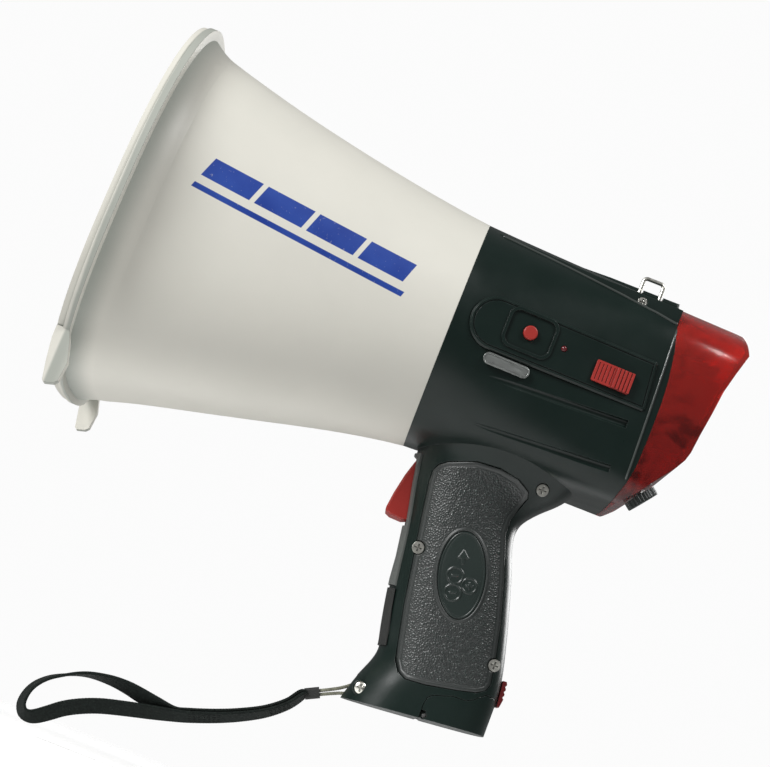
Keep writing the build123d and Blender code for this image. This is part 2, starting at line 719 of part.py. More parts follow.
FOOT = [
    (-169.4, -78), (-169.4, -84), (-167.8, -95), (-165.9, -104.4), (-164.9, -105.3),
    (-160.4, -104.0), (-158.8, -102.2), (-158.0, -93), (-160.6, -84), (-163, -78)]


def super_ring(section, inset=0.0, count=48):
    """Superellipse with unlike upper and lower halves."""
    half_width, up, down, square_up, square_down, centre_z = section
    points = []
    for i in range(count):
        angle = 2 * pi * (i + 0.5) / count
        c, s = cos(angle), sin(angle)
        power, height = (square_up, up) if s >= 0 else (square_down, down)
        points.append((
            (1 if c > 0 else -1) * half_width * abs(c) ** (2 / power),
            centre_z + (1 if s > 0 else -1) * height * abs(s) ** (2 / power)))
    return inset_ring(points, inset)


def bell_loft(inset):
    """Bell form: the long horn, then the quick flare behind the lip."""
    with BuildPart() as form:
        for rows in (BELL[3:], BELL[:4]):
            for x, section, lean in rows:
                with BuildSketch(lean_plane(x, lean)):
                    with BuildLine():
                        Spline(*super_ring(section, inset), periodic=True)
                    make_face()
            loft()
    return form.part


def lip_band(x, thickness, inset=0.0):
    with BuildPart() as band:
        with BuildSketch(lean_plane(x, MOUTH_LEAN)):
            with BuildLine():
                Spline(*super_ring(LIP, inset), periodic=True)
            make_face()
        extrude(amount=thickness)
    return band.part


with BuildPart() as bell:
    add(bell_loft(0.0))
    # lip: two stepped bands at the mouth
    add(lip_band(MOUTH_X, LIP_FRONT_T, 0.9))
    add(lip_band(MOUTH_X + LIP_FRONT_T, LIP_T - LIP_FRONT_T))
    # feet at the lower corners of the mouth
    for y in (83.6, -77.0):
        add(prism(FOOT, y, y - 6.6))
    # hollow
    add(bell_loft(BELL_WALL), mode=CUT)
    add(lip_band(MOUTH_X - 1, 5.4, 4.3), mode=CUT)
    # rear wall with the driver opening, and the spigot that enters the housing
    add(washer(-3.4, 3.4, 57.6, 15.0))
    add(washer(0, 4.2, 54.9, 52.4))
    add(bolt_rods(-4, 6, CAP_BOLTS, 1.7), mode=CUT)
    add(bolt_rods(-4, 6, HORN_BOLTS, 1.3), mode=CUT)

# ------------------------------------------------ folded horn and its driver
# rib outline (x, radius) and rib directions, degrees from +Z toward +Y
HORN_RIB = [(-52, 14.0), (-92, 18.5), (-92, 31.0), (-88, 33.9), (-52, 38.9)]
HORN_RIB_ANGLES = (0, 30, 150)

with BuildPart() as tone_tube:
    with BuildSketch(Plane.XZ):
        with BuildLine():
            bore = Spline((-6.0, 11.5), (-40, 13.0), (-75, 16.5), (-98, 21.0))
            rim = Polyline(bore @ 1, (-98, 22.8))
            skin = Spline(rim @ 1, (-75, 18.5), (-40, 15.2), (-6.0, 15.0))
            Polyline(skin @ 1, (-6.0, 26.0), (-3.45, 26.0), (-3.45, 11.5), bore @ 0)
        make_face()
    revolve(axis=Axis.X)
    # three ribs that carry the reflector
    for angle in HORN_RIB_ANGLES:
        across = (0, -cos(radians(angle)), sin(radians(angle)))
        with BuildSketch(Plane(origin=(0, 0, 0), x_dir=(1, 0, 0), z_dir=across)):
            with BuildLine():
                Polyline(*HORN_RIB, close=True)
            make_face()
        extrude(amount=1.1, both=True)
    with BuildSketch(yz_plane(-98)):
        Circle(11.4)
    extrude(amount=100, mode=CUT)
    add(bolt_rods(-7, 5, HORN_BOLTS, 1.3), mode=CUT)

with BuildPart() as reflector:
    with BuildSketch(Plane.XZ):
        with BuildLine():
            outside = Spline(
                (-34, 43.5), (-60, 40.2), (-90, 35.6), (-108, 31.0), (-120, 22.5),
                (-126.5, 9.5), (-128, 0.0), tangents=[(-1, -0.12), (0, -1)])
            nose = Line(outside @ 1, (-125.8, 0))
            inside = Spline(
                nose @ 1, (-124.3, 9.0), (-118.2, 21.0), (-107, 29.0), (-90, 33.6),
                (-60, 38.3), (-34, 41.6), tangents=[(0, 1), (1, 0.12)])
            Line(inside @ 1, outside @ 0)
        make_face()
    revolve(axis=Axis.X)
    # deflecting cone on the axis
    add(turned([(-126.2, 0), (-126.2, 8.0), (-122, 6.6), (-112, 2.2), (-104, 0)]))
    # slim trim ring round the open rear end
    add(turned([(-35.5, 42.2), (-35.5, 45.2), (-33.0, 45.2), (-33.0, 41.7)]))

with BuildPart() as horn_screws:
    add(bolt_rods(-8.0, 1.95, HORN_BOLTS, 2.2))
    add(bolt_rods(-6.05, 6.4, HORN_BOLTS, 1.2))
    with BuildSketch(yz_plane(-8.2)):
        with PolarLocations(*HORN_BOLTS):
            Rectangle(2.8, 0.6)
            Rectangle(0.6, 2.8)
    extrude(amount=1.1, mode=CUT)

# front cap with the central opening
with BuildPart() as driver_cap:
    add(turned([
        (0.05, 10.5), (0.05, 49.5), (3.0, 49.5), (3.6, 38.0), (10.0, 38.0), (10.0, 33.4),
        (5.0, 30.5), (3.6, 18.0), (3.6, 13.0)]))
    add(bolt_rods(-1, 6, CAP_BOLTS, 1.7), mode=CUT)
    add(bolt_rods(-1, 6, HORN_BOLTS, 1.35), mode=CUT)

with BuildPart() as driver_screws:
    add(bolt_rods(-3.4, 6.8, CAP_BOLTS, 1.6))
    add(bolt_rods(3.4, 2.2, CAP_BOLTS, 3.0))

with BuildPart() as diaphragm:
    add(turned([
        (7.0, 0), (7.6, 5.0), (9.2, 10.5), (11.9, 16.2), (11.9, 20.6), (10.2, 22.2),
        (10.2, 33.0), (10.5, 33.0), (10.5, 22.6), (12.3, 20.9), (12.3, 16.0), (9.6, 10.2),
        (8.0, 4.8), (7.4, 0)]))

with BuildPart() as voice_coil:
    add(washer(12.35, 6.5, 18.0, 17.2))

with BuildPart() as top_plate:
    add(washer(10.6, 2.4, 36.0, 23.4))
    add(washer(13.0, 4.0, 36.0, 18.7))

with BuildPart() as magnet:
    add(washer(17.05, 14.9, 37.5, 22.5))
    chamfer(magnet.edges().filter_by(GeomType.CIRCLE), 0.8)

with BuildPart() as back_plate:
    with BuildSketch(yz_plane(32.0)):
        Circle(35.0)
    extrude(amount=5.0)
    # pole piece
    with BuildSketch(yz_plane(14.2)):
        Circle(16.6)
    extrude(amount=17.8)
    chamfer(back_plate.faces().sort_by(Axis.X)[-1].edges(), 1.5)

# ------------------------------------------------ translucent rear housing
with BuildPart() as lens_void:
    add(BODY_INNER)
    add(prism(TAIL, OUT, grow=-2.3), mode=KEEP)

with BuildPart() as rear_lens:
    add(BODY_OUTER)
    add(prism(TAIL, OUT), mode=KEEP)
    add(prism([(x + GAP, z) for x, z in SEAM] + BEHIND_SEAM, OUT), mode=KEEP)
    add(lens_void.part, mode=CUT)
    # opening for the microphone cup, hole for the volume control
    with BuildSketch(yz_plane(118, MIC_Z)):
        RectangleRounded(CUP_W, CUP_H, CUP_CORNER)
    extrude(amount=40, mode=CUT)
    with BuildSketch(knob_plane(-8)):
        Circle(3.7)
    extrude(amount=12, mode=CUT)

with BuildPart() as rear_bulkhead:
    with BuildSketch(yz_plane(98.4)):
        with BuildLine():
            Spline(*body_ring(100.9, WALL + 0.35), periodic=True)
        make_face()
        with Locations((30, 30), (-30, -30), (0, -36)):
            Circle(4, mode=CUT)
    extrude(amount=2.4)
    add(bullet_prism(-3, 9.0, 1.0), mode=CUT)

with BuildPart() as mic_cup:
    with BuildSketch(yz_plane(110, MIC_Z)):
        RectangleRounded(CUP_W - 0.6, CUP_H - 0.6, CUP_CORNER - 0.3)
    extrude(amount=32)
    add(prism(TAIL, OUT, grow=-0.7), mode=KEEP)
    # funnel
    with BuildSketch(yz_plane(119.5, MIC_Z)):
        RectangleRounded(26, 22, 10.5)
    with BuildSketch(yz_plane(143, MIC_Z)):
        RectangleRounded(56, 40, 16)
    loft(mode=CUT)
    # hollow inner end
    with BuildSketch(yz_plane(108, MIC_Z)):
        RectangleRounded(49, 33, 13.5)
    extrude(amount=9, mode=CUT)
    with BuildSketch(yz_plane(108, MIC_Z)):
        Circle(9.0)
    extrude(amount=16, mode=CUT)
    # feet against the bulkhead
    with BuildSketch(yz_plane(100.85, MIC_Z)):
        with Locations((-24.6, 0), (24.6, 0)):
            Rectangle(3.4, 10)
    extrude(amount=12)

with BuildPart() as mic_grille:
    with BuildSketch(yz_plane(119.55, MIC_Z)):
        Circle(10.8)
        with HexLocations(1.25, 7, 7):
            Circle(0.72, mode=CUT)
    extrude(amount=0.9)

with BuildPart() as mic_mount:
    with BuildSketch(yz_plane(112.0, MIC_Z)):
        Circle(8.9)
        Circle(5.05, mode=CUT)
    extrude(amount=7.4)

with BuildPart() as mic_capsule:
    with BuildSketch(yz_plane(111.5, MIC_Z)):
        Circle(4.95)
    extrude(amount=6.8)
    fillet(mic_capsule.faces().sort_by(Axis.X)[-1].edges(), 0.5)

# trough along Y with an end plate on each side
TROUGH_HALF = 30
TROUGH_T = 0.8
TROUGH_FRONT, TROUGH_FLOOR, TROUGH_REAR = (108.0, 40.4), (119.4, 30.6), (130.8, 39.4)

with BuildPart() as strobe_reflector:
    with BuildSketch(side_plane(TROUGH_HALF)):
        with BuildLine():
            upper = ThreePointArc((108.6, 41.0), (119.4, 31.4), (130.2, 40.0))
            edge = Line(upper @ 1, TROUGH_REAR)
            lower = ThreePointArc(edge @ 1, TROUGH_FLOOR, TROUGH_FRONT)
            Line(lower @ 1, upper @ 0)
        make_face()
    extrude(amount=2 * TROUGH_HALF)
    for y in (TROUGH_HALF + TROUGH_T, -TROUGH_HALF):
        with BuildSketch(side_plane(y)):
            with BuildLine():
                bow = ThreePointArc(TROUGH_FRONT, TROUGH_FLOOR, TROUGH_REAR)
                Line(bow @ 1, bow @ 0)
            make_face()
        extrude(amount=TROUGH_T)
    add(rod(*STROBE, 2.3, -OUT), mode=CUT)

XENON_R = 1.9
with BuildPart() as xenon_tube:
    add(rod(*STROBE, XENON_R, -32.5))
    add(rod(*STROBE, 0.6, -34.5))
    rims = xenon_tube.edges().filter_by(GeomType.CIRCLE)
    chamfer(rims.filter_by(lambda e: abs(e.radius - XENON_R) < 0.01), 0.5)

with BuildPart() as strobe_board:
    with BuildSketch(Plane.XY.offset(27.6)):
        with Locations((119.0, 0)):
            RectangleRounded(24, 56, 1.5)
            with GridLocations(19, 50, 2, 2):
                Circle(1.3, mode=CUT)
    extrude(amount=1.6)
    with BuildSketch(Plane.XY.offset(29.2)):
        with Locations((113, -18), (113, 18), (126, 0)):
            Rectangle(3, 5)
    extrude(amount=1.2)

POT_BASE = -10.4     # inner end of the volume control below the rear slope
POT_L = 7.2
with BuildPart() as volume_pot:
    with BuildSketch(knob_plane(POT_BASE)):
        Circle(7.6)
    extrude(amount=POT_L)
    with BuildSketch(knob_plane(POT_BASE + POT_L)):
        Circle(3.5)
    extrude(amount=3.6)
    with BuildSketch(knob_plane(-4.2)):
        Circle(2.95)
    extrude(amount=6, mode=CUT)
    # terminals
    with BuildSketch(knob_plane(POT_BASE)):
        with Locations((-3, -9.4), (0, -9.4), (3, -9.4)):
            Rectangle(1.0, 5)
    extrude(amount=0.6)

with BuildPart() as volume_knob:
    with BuildSketch(knob_plane(0.7)):
        Circle(8.4)
        with PolarLocations(8.75, 30):
            Circle(0.62, mode=CUT)
    extrude(amount=4.3)
    knob_top = volume_knob.faces().sort_by(
        lambda f: f.center().dot(Vector(KNOB_N[0], 0, KNOB_N[1])))[-1]
    chamfer(knob_top.outer_wire().edges(), 0.35)
    # pointer groove
    with BuildSketch(knob_plane(5.2)):
        with Locations((0, 5.4)):
            Rectangle(1.0, 4.2)
    extrude(amount=-0.7, mode=CUT)
    # shaft
    with BuildSketch(knob_plane(0.75)):
        Circle(2.88)
    extrude(amount=-4.6)

# ------------------------------------------------------------- electronics
BOARD_Y = 20.0        # component face of the main board
BOARD_T = 1.6
SINK_C = (76, -16)    # x, -z
SEATED_Y = BOARD_Y - 0.05

with BuildPart() as main_board:
    with BuildSketch(side_plane(BOARD_Y + BOARD_T)):
        with Locations((76.5, -3)):
            RectangleRounded(40, 78, 2)
            with GridLocations(33, 70, 2, 2):
                Circle(1.6, mode=CUT)
    extrude(amount=BOARD_T)
    with BuildSketch(side_plane(BOARD_Y)):
        with Locations((66, -26)):
            Rectangle(9, 18)
        with Locations(*[(x, z) for z in (-30, -22) for x in (78, 84, 90)]):
            Rectangle(3.2, 1.6)
    extrude(amount=2.2)

with BuildPart() as transformer:
    with BuildSketch(side_plane(SEATED_Y)):
        with Locations((68, 2)):
            Rectangle(20, 24)
    extrude(amount=16)
    with BuildSketch(side_plane(3.9)):
        with Locations((68, 2)):
            RectangleRounded(15, 19, 3)
    extrude(amount=3)

with BuildPart() as capacitors:
    for z, radius, y in ((26, 5.0, 4.5), (12, 5.0, 4.5), (-1, 4.0, 8.5), (-12, 4.0, 8.5)):
        add(rod(88, z, radius, y, SEATED_Y))
    rims = capacitors.edges().filter_by(GeomType.CIRCLE)
    chamfer([e for e in rims if e.center().Y < 10], 0.6)

with BuildPart() as heat_sink:
    with BuildSketch(right_plane(21.7)):
        with Locations(SINK_C):
            Rectangle(30, 22)
    extrude(amount=2.4)
    # fins
    with BuildSketch(right_plane(24.1)):
        with Locations(SINK_C):
            with GridLocations(4.1, 1, 8, 1):
                Rectangle(1.2, 22)
    extrude(amount=10)

# ------------------------------------------------------------ battery power
# cell centres across the holder: rearward, then toward +Y
CELLS = [(6.4, -14.8), (6.4, 0.0), (6.4, 14.8), (-6.4, -7.4), (-6.4, 7.4)]
NUB_OFFSET = 2.0      # the cell's cylinder is this much shorter than CELL_L

with BuildPart() as battery_holder:
    for height in (0.0, HOLDER_TOP):
        with BuildSketch(holder_plane(height)):
            with BuildLine():
                Polyline(
                    (-13.4, -14.6), (-13.4, 14.6), (-1.0, 21.7), (7.0, 21.7), (13.1, 15.0),
                    (13.1, -15.0), (7.0, -21.7), (-1.0, -21.7), close=True)
            make_face()
        extrude(amount=2.0)
    # posts between the end plates
    with BuildSketch(holder_plane(1.0)):
        with Locations((-7.2, -17.5), (-7.2, 17.5)):
            Rectangle(3.2, 2.8)
        with Locations((11.6, -7.4), (11.6, 7.4)):
            Circle(1.4)
    extrude(amount=101.0)

with BuildPart() as batteries:
    for layer in range(2):
        base = 2.5 + layer * (CELL_L - 0.35)
        with BuildSketch(holder_plane(base)):
            with Locations(*CELLS):
                Circle(CELL_R)
        extrude(amount=CELL_L - NUB_OFFSET)
        with BuildSketch(holder_plane(base + CELL_L - NUB_OFFSET)):
            with Locations(*CELLS):
                Circle(2.7)
        extrude(amount=1.3)

with BuildPart() as battery_contacts:
    for height in (2.03, HOLDER_TOP - 0.45):
        with BuildSketch(holder_plane(height)):
            with Locations(*CELLS):
                Rectangle(8, 8)
        extrude(amount=0.4)
    # snap terminals on top
    with BuildSketch(holder_plane(HOLDER_TOP + 2.05)):
        with Locations((0, -6.5), (0, 6.5)):
            Circle(3.0)
    extrude(amount=2.6)

with BuildPart() as battery_door:
    add(GRIP_OUTER)
    add(GRIP_INNER, mode=CUT)
    add(prism(DOOR, OUT, grow=-GAP), mode=KEEP)
    # front lower corner rounded about the hinge
    add(block((50, DOOR_PIVOT[0] - 0.02), (-190, -178.6), OUT), mode=CUT)
    add(rod(*DOOR_PIVOT, 1.9, -20.5))
    # room for the hinge ears
    for y0, y1 in ((19.4, 15.6), (-15.6, -19.4)):
        add(block((50, 60.2), (-190, -177.4), y0, y1), mode=CUT)
    add(rod(*DOOR_PIVOT, 1.15, -OUT), mode=CUT)

with BuildPart() as door_pin:
    add(rod(*DOOR_PIVOT, 1.1, -20.4))

with BuildPart() as battery_latch:
    # thumb plate whose lower end overlaps the rear edge of the door from outside
    add(prism([(87.75, -150.4), (89.27, -163.4), (90.5, -163.2), (91.1, -159.2),
               (90.2, -151.2), (89.6, -150.2)], 6.6))
    for i in range(3):
        add(rod(91.15 - 0.115 * 2.2 * i, -157.9 + 2.6 * i, 0.75, -7), mode=CUT)
    # tongue through the slot, turned up inside
    add(prism([(84.2, -159.2), (89.5, -159.2), (89.0, -155.4), (84.2, -155.4)], 2.4))
    add(block((84.2, 85.7), (-159.2, -153.4), 2.4))

# ---------------------------------------------------------- strap and rings
CRIMP = (5.9, -188.7)
CORD_X, CORD_Z = -0.8915, -0.453    # direction of the cord, out of the toe
CORD_LOOP_R = 2.95                  # cord centre line round the strap screw
CORD_HALF = 0.95                    # half spacing of the two strands at the crimp
STRAP = [                           # middle line of the strap (x, z)
    (-1.6, -192.6), (-6.0, -200.0), (-14.5, -206.6), (-25.0, -212.4), (-36.0, -217.4),
    (-48.4, -222.2), (-66.0, -227.0), (-90.0, -233.5), (-106.6, -241.2), (-117.5, -250.0),
    (-123.5, -250.6), (-126.9, -246.0), (-123.2, -234.2), (-112.8, -226.4), (-101.4, -221.9),
    (-88.2, -220.6), (-74.3, -222.0), (-62.0, -223.4)]


def by_cord(place, along, below=0.0):
    """Point moved from a place along the cord and square to it, below being downward."""
    return (
        place[0] + CORD_X * along - CORD_Z * below, 0,
        place[1] + CORD_Z * along + CORD_X * below)


def crimp_plane(back):
    """Plane square to the cord, back toward the toe from the crimp point."""
    return Plane(origin=by_cord(CRIMP, -back), x_dir=(0, 1, 0), z_dir=(CORD_X, 0, CORD_Z))


with BuildPart() as strap_cord:
    with BuildLine() as cord_path:
        strand = Line(by_cord(CRIMP, 0, CORD_HALF), by_cord(LUG, 0, CORD_LOOP_R))
        turn = ThreePointArc(
            strand @ 1, by_cord(LUG, -CORD_LOOP_R), by_cord(LUG, 0, -CORD_LOOP_R))
        Line(turn @ 1, by_cord(CRIMP, 0, -CORD_HALF))
    with BuildSketch(Plane(origin=strand @ 0, z_dir=strand % 0)):
        Circle(0.88)
    sweep(path=cord_path.line, transition=Transition.ROUND)

with BuildPart() as strap_crimp:
    with BuildSketch(crimp_plane(0.6)):
        RectangleRounded(4.6, 5.6, 1.6)
    extrude(amount=7.2)
    with BuildSketch(crimp_plane(1.0)):
        SlotOverall(3.9, 1.95, rotation=90)
    extrude(amount=1.15, mode=CUT)

with BuildPart() as wrist_strap:
    with BuildSketch(side_plane(5.5)):
        for (ax, az), (bx, bz) in zip(STRAP, STRAP[1:]):
            with Locations(((ax + bx) / 2, (az + bz) / 2)):
                SlotCenterToCenter(
                    hypot(bx - ax, bz - az), 9.6, rotation=degrees(atan2(bz - az, bx - ax)))
    extrude(amount=11.0)
    # mouth that takes the crimp
    with BuildSketch(crimp_plane(0.6)):
        RectangleRounded(4.7, 5.7, 1.65)
    extrude(amount=7.25, mode=CUT)

with BuildPart() as d_ring:
    with BuildLine() as ring_path:
        FilletPolyline(
            (92.8, 0, 55.0), (92.8, 0, 65.1), (82.2, 0, 65.1), (82.2, 0, 55.0),
            radius=1.9, close=True)
    with BuildSketch(Plane(origin=ring_path.line @ 0, z_dir=ring_path.line % 0)):
        Circle(1.0)
    sweep(path=ring_path.line)

# ------------------------------------------------------------------- screws
with BuildPart() as housing_screws:
    for place, y in SCREW_SURFACE.items():
        add(cross_screw(
            place, head_radius=3.0, head_span=(y + 0.1, y + 1.85), shank_radius=1.45,
            shank_end=-y - 5.6, slot=(1.9, 0.38), slot_floor=y + 1.0))

with BuildPart() as lug_screw:
    add(cross_screw(
        LUG, head_radius=3.05, head_span=(-22.7, -21.05), shank_radius=1.5,
        shank_end=16.4, slot=(2.0, 0.4), slot_floor=-21.9))

with BuildPart() as ridge_screw:
    add(cross_screw(
        RIDGE_SCREW, head_radius=2.3, head_span=(RIDGE_HEAD_Y - 0.2, RIDGE_HEAD_Y + 1.45),
        shank_radius=1.0, shank_end=-29.4, slot=(1.5, 0.3), slot_floor=RIDGE_HEAD_Y + 0.6))

# -------------------------------------------------------------------- wires
with BuildPart() as speaker_wires:
    for dy in (-1.4, 1.4):
        add(wire([
            (38.4, 10 + dy, 26), (46, 12 + dy, 32), (56, 14 + dy, 32), (62, 16 + dy, 24),
            (63.5, 19.2 + dy * 0.2, 20 + dy * 2)]))

with BuildPart() as battery_wires:
    for dy in (-6.5, 6.5):
        add(wire([
            (44.2, dy, -70.8), (43.0, dy, -64), (50, dy + 5, -52), (60, 14 + dy * 0.4, -44),
            (64, 18.6 + dy * 0.05, -38 + dy * 0.3)]))

# ------------------------------------------------------------------- exports
# The row frame has the same directions as the layout frame; its origin is the centre of
# the bounding box.
PIECES = dict(
    left_housing=left_housing, right_housing=right_housing, control_panel=control_panel,
    siren_button=siren_button, button_switch=button_switch, status_led=status_led,
    slide_knob=slide_knob, slide_switch=slide_switch, label_plate=label_plate,
    left_grip_panel=left_grip_panel, right_grip_panel=right_grip_panel,
    left_emblem=left_emblem, right_emblem=right_emblem, trigger_bezel=trigger_bezel,
    trigger=trigger, trigger_pin=trigger_pin, trigger_spring=trigger_spring,
    ptt_switch=ptt_switch, rib_insert=rib_insert, bell=bell, tone_tube=tone_tube,
    reflector=reflector, horn_screws=horn_screws, driver_cap=driver_cap,
    driver_screws=driver_screws, diaphragm=diaphragm, voice_coil=voice_coil,
    top_plate=top_plate, magnet=magnet, back_plate=back_plate, rear_lens=rear_lens,
    rear_bulkhead=rear_bulkhead, mic_cup=mic_cup, mic_grille=mic_grille,
    mic_mount=mic_mount, mic_capsule=mic_capsule, strobe_reflector=strobe_reflector,
    xenon_tube=xenon_tube, strobe_board=strobe_board, volume_pot=volume_pot,
    volume_knob=volume_knob, main_board=main_board, transformer=transformer,
    capacitors=capacitors, heat_sink=heat_sink, battery_holder=battery_holder,
    batteries=batteries, battery_contacts=battery_contacts, battery_door=battery_door,
    door_pin=door_pin, battery_latch=battery_latch, strap_cord=strap_cord,
    strap_crimp=strap_crimp, wrist_strap=wrist_strap, d_ring=d_ring,
    housing_screws=housing_screws, lug_screw=lug_screw, ridge_screw=ridge_screw,
    speaker_wires=speaker_wires, battery_wires=battery_wires)

for name, piece in PIECES.items():
    placed = Pos(*TO_ROW) * piece.part
    placed.label = name
    export_step(placed, f"parts/{name}.step")
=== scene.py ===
import math

import bmesh
import bpy
import numpy as np
from mathutils import Matrix, Vector, noise
from mathutils.bvhtree import BVHTree
from mathutils.geometry import delaunay_2d_cdt
from mathutils.kdtree import KDTree


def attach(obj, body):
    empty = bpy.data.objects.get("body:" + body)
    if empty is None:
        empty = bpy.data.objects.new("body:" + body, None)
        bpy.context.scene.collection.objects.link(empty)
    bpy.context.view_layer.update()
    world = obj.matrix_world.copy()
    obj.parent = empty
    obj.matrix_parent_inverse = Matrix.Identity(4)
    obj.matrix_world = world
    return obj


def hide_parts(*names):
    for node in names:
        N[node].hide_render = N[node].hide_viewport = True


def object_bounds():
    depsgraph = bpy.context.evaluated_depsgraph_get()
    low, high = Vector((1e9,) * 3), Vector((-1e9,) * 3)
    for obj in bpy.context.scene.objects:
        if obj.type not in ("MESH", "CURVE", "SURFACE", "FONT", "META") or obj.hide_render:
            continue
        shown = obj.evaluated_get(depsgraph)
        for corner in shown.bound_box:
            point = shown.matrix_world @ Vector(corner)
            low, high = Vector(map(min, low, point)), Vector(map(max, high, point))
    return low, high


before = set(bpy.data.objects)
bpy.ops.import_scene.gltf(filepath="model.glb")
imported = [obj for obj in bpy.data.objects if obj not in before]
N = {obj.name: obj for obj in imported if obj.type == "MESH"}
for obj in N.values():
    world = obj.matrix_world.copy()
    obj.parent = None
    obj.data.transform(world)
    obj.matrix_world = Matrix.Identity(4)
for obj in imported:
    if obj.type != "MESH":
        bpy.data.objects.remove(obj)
cad_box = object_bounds()
MM = 0.001
SHIFT = (14.4, 0.0, 78.2)   # layout frame of the horn joint plane to the row frame, mm


def R(x, y, z):
    """Layout millimetres to row metres."""
    return Vector(((x + SHIFT[0]) * MM, (y + SHIFT[1]) * MM, (z + SHIFT[2]) * MM))


# --------------------------------------------------------------- materials


class NT:
    """Small helper for building node trees."""

    def __init__(self, name):
        self.mat = bpy.data.materials.new(name)
        self.mat.use_nodes = True
        self.nt = self.mat.node_tree
        self.nt.nodes.clear()
        self.out = self.nt.nodes.new("ShaderNodeOutputMaterial")
        self.bsdf = self.nt.nodes.new("ShaderNodeBsdfPrincipled")
        self.nt.links.new(self.bsdf.outputs[0], self.out.inputs[0])
        self.coord = self.nt.nodes.new("ShaderNodeTexCoord")

    def node(self, kind, **kw):
        n = self.nt.nodes.new(kind)
        for k, v in kw.items():
            setattr(n, k, v)
        return n

    def link(self, a, b):
        self.nt.links.new(a, b)

    def obj(self, scale=(1, 1, 1), rot=(0, 0, 0), loc=(0, 0, 0)):
        m = self.node("ShaderNodeMapping")
        m.inputs["Scale"].default_value = scale
        m.inputs["Rotation"].default_value = rot
        m.inputs["Location"].default_value = loc
        self.link(self.coord.outputs["Object"], m.inputs["Vector"])
        return m.outputs[0]

    def noise(self, scale, detail=4.0, rough=0.5, vec=None, dist=0.0):
        n = self.node("ShaderNodeTexNoise")
        n.inputs["Scale"].default_value = scale
        n.inputs["Detail"].default_value = detail
        n.inputs["Roughness"].default_value = rough
        n.inputs["Distortion"].default_value = dist
        self.link(vec if vec is not None else self.coord.outputs["Object"], n.inputs["Vector"])
        return n.outputs["Fac"]

    def voronoi(self, scale, vec=None, feature="F1", rnd=1.0):
        n = self.node("ShaderNodeTexVoronoi")
        n.feature = feature
        n.inputs["Scale"].default_value = scale
        n.inputs["Randomness"].default_value = rnd
        self.link(vec if vec is not None else self.coord.outputs["Object"], n.inputs["Vector"])
        return n.outputs["Distance"]

    def math(self, op, a, b=None, c=None, clamp=False):
        n = self.node("ShaderNodeMath", operation=op)
        n.use_clamp = clamp
        for i, v in enumerate((a, b, c)):
            if v is None:
                continue
            if isinstance(v, (int, float)):
                n.inputs[i].default_value = v
            else:
                self.link(v, n.inputs[i])
        return n.outputs[0]

    def remap(self, fac, lo, hi, a=0.0, b=1.0, smooth=False):
        n = self.node("ShaderNodeMapRange")
        n.clamp = True
        if smooth:
            n.interpolation_type = "SMOOTHSTEP"
        n.inputs["From Min"].default_value = lo
        n.inputs["From Max"].default_value = hi
        n.inputs["To Min"].default_value = a
        n.inputs["To Max"].default_value = b
        self.link(fac, n.inputs["Value"])
        return n.outputs["Result"]

    def mixc(self, fac, a, b):
        n = self.node("ShaderNodeMix", data_type="RGBA")
        for sock, v in ((n.inputs[0], fac), (n.inputs[6], a), (n.inputs[7], b)):
            if isinstance(v, (int, float)):
                sock.default_value = v
            elif isinstance(v, (tuple, list)):
                sock.default_value = (*v[:3], 1.0)
            else:
                self.link(v, sock)
        return n.outputs[2]

    def bump(self, height, strength, dist, normal=None):
        n = self.node("ShaderNodeBump")
        n.inputs["Strength"].default_value = strength
        n.inputs["Distance"].default_value = dist
        self.link(height, n.inputs["Height"])
        if normal is not None:
            self.link(normal, n.inputs["Normal"])
        return n.outputs[0]

    def set(self, **kw):
        for k, v in kw.items():
            s = self.bsdf.inputs[k.replace("_", " ")]
            if isinstance(v, (int, float)):
                s.default_value = v
            elif isinstance(v, (tuple, list)):
                s.default_value = (*v[:3], 1.0) if len(v) == 3 and s.type == "RGBA" else v
            else:
                self.link(v, s)


def rounded(t, radius=0.00035):
    b = t.node("ShaderNodeBevel")
    b.samples = 4
    b.inputs["Radius"].default_value = radius
    return b.outputs["Normal"]


# Ambient-occlusion mask; the materials use it to paint shade into crevices.
def crevice(t, dist=0.0016):
    a = t.node("ShaderNodeAmbientOcclusion")
    a.samples = 6
    a.inputs["Distance"].default_value = dist
    return a.outputs["AO"]


def edges(t, radius=0.0006):
    """1 where the rounded-edge normal leaves the face normal, 0 on flats."""
    g = t.node("ShaderNodeNewGeometry")
    d = t.node("ShaderNodeVectorMath", operation="DOT_PRODUCT")
    t.link(rounded(t, radius), d.inputs[0])
    t.link(g.outputs["Normal"], d.inputs[1])
    return t.remap(d.outputs["Value"], 0.995, 0.86, 0.0, 1.0)


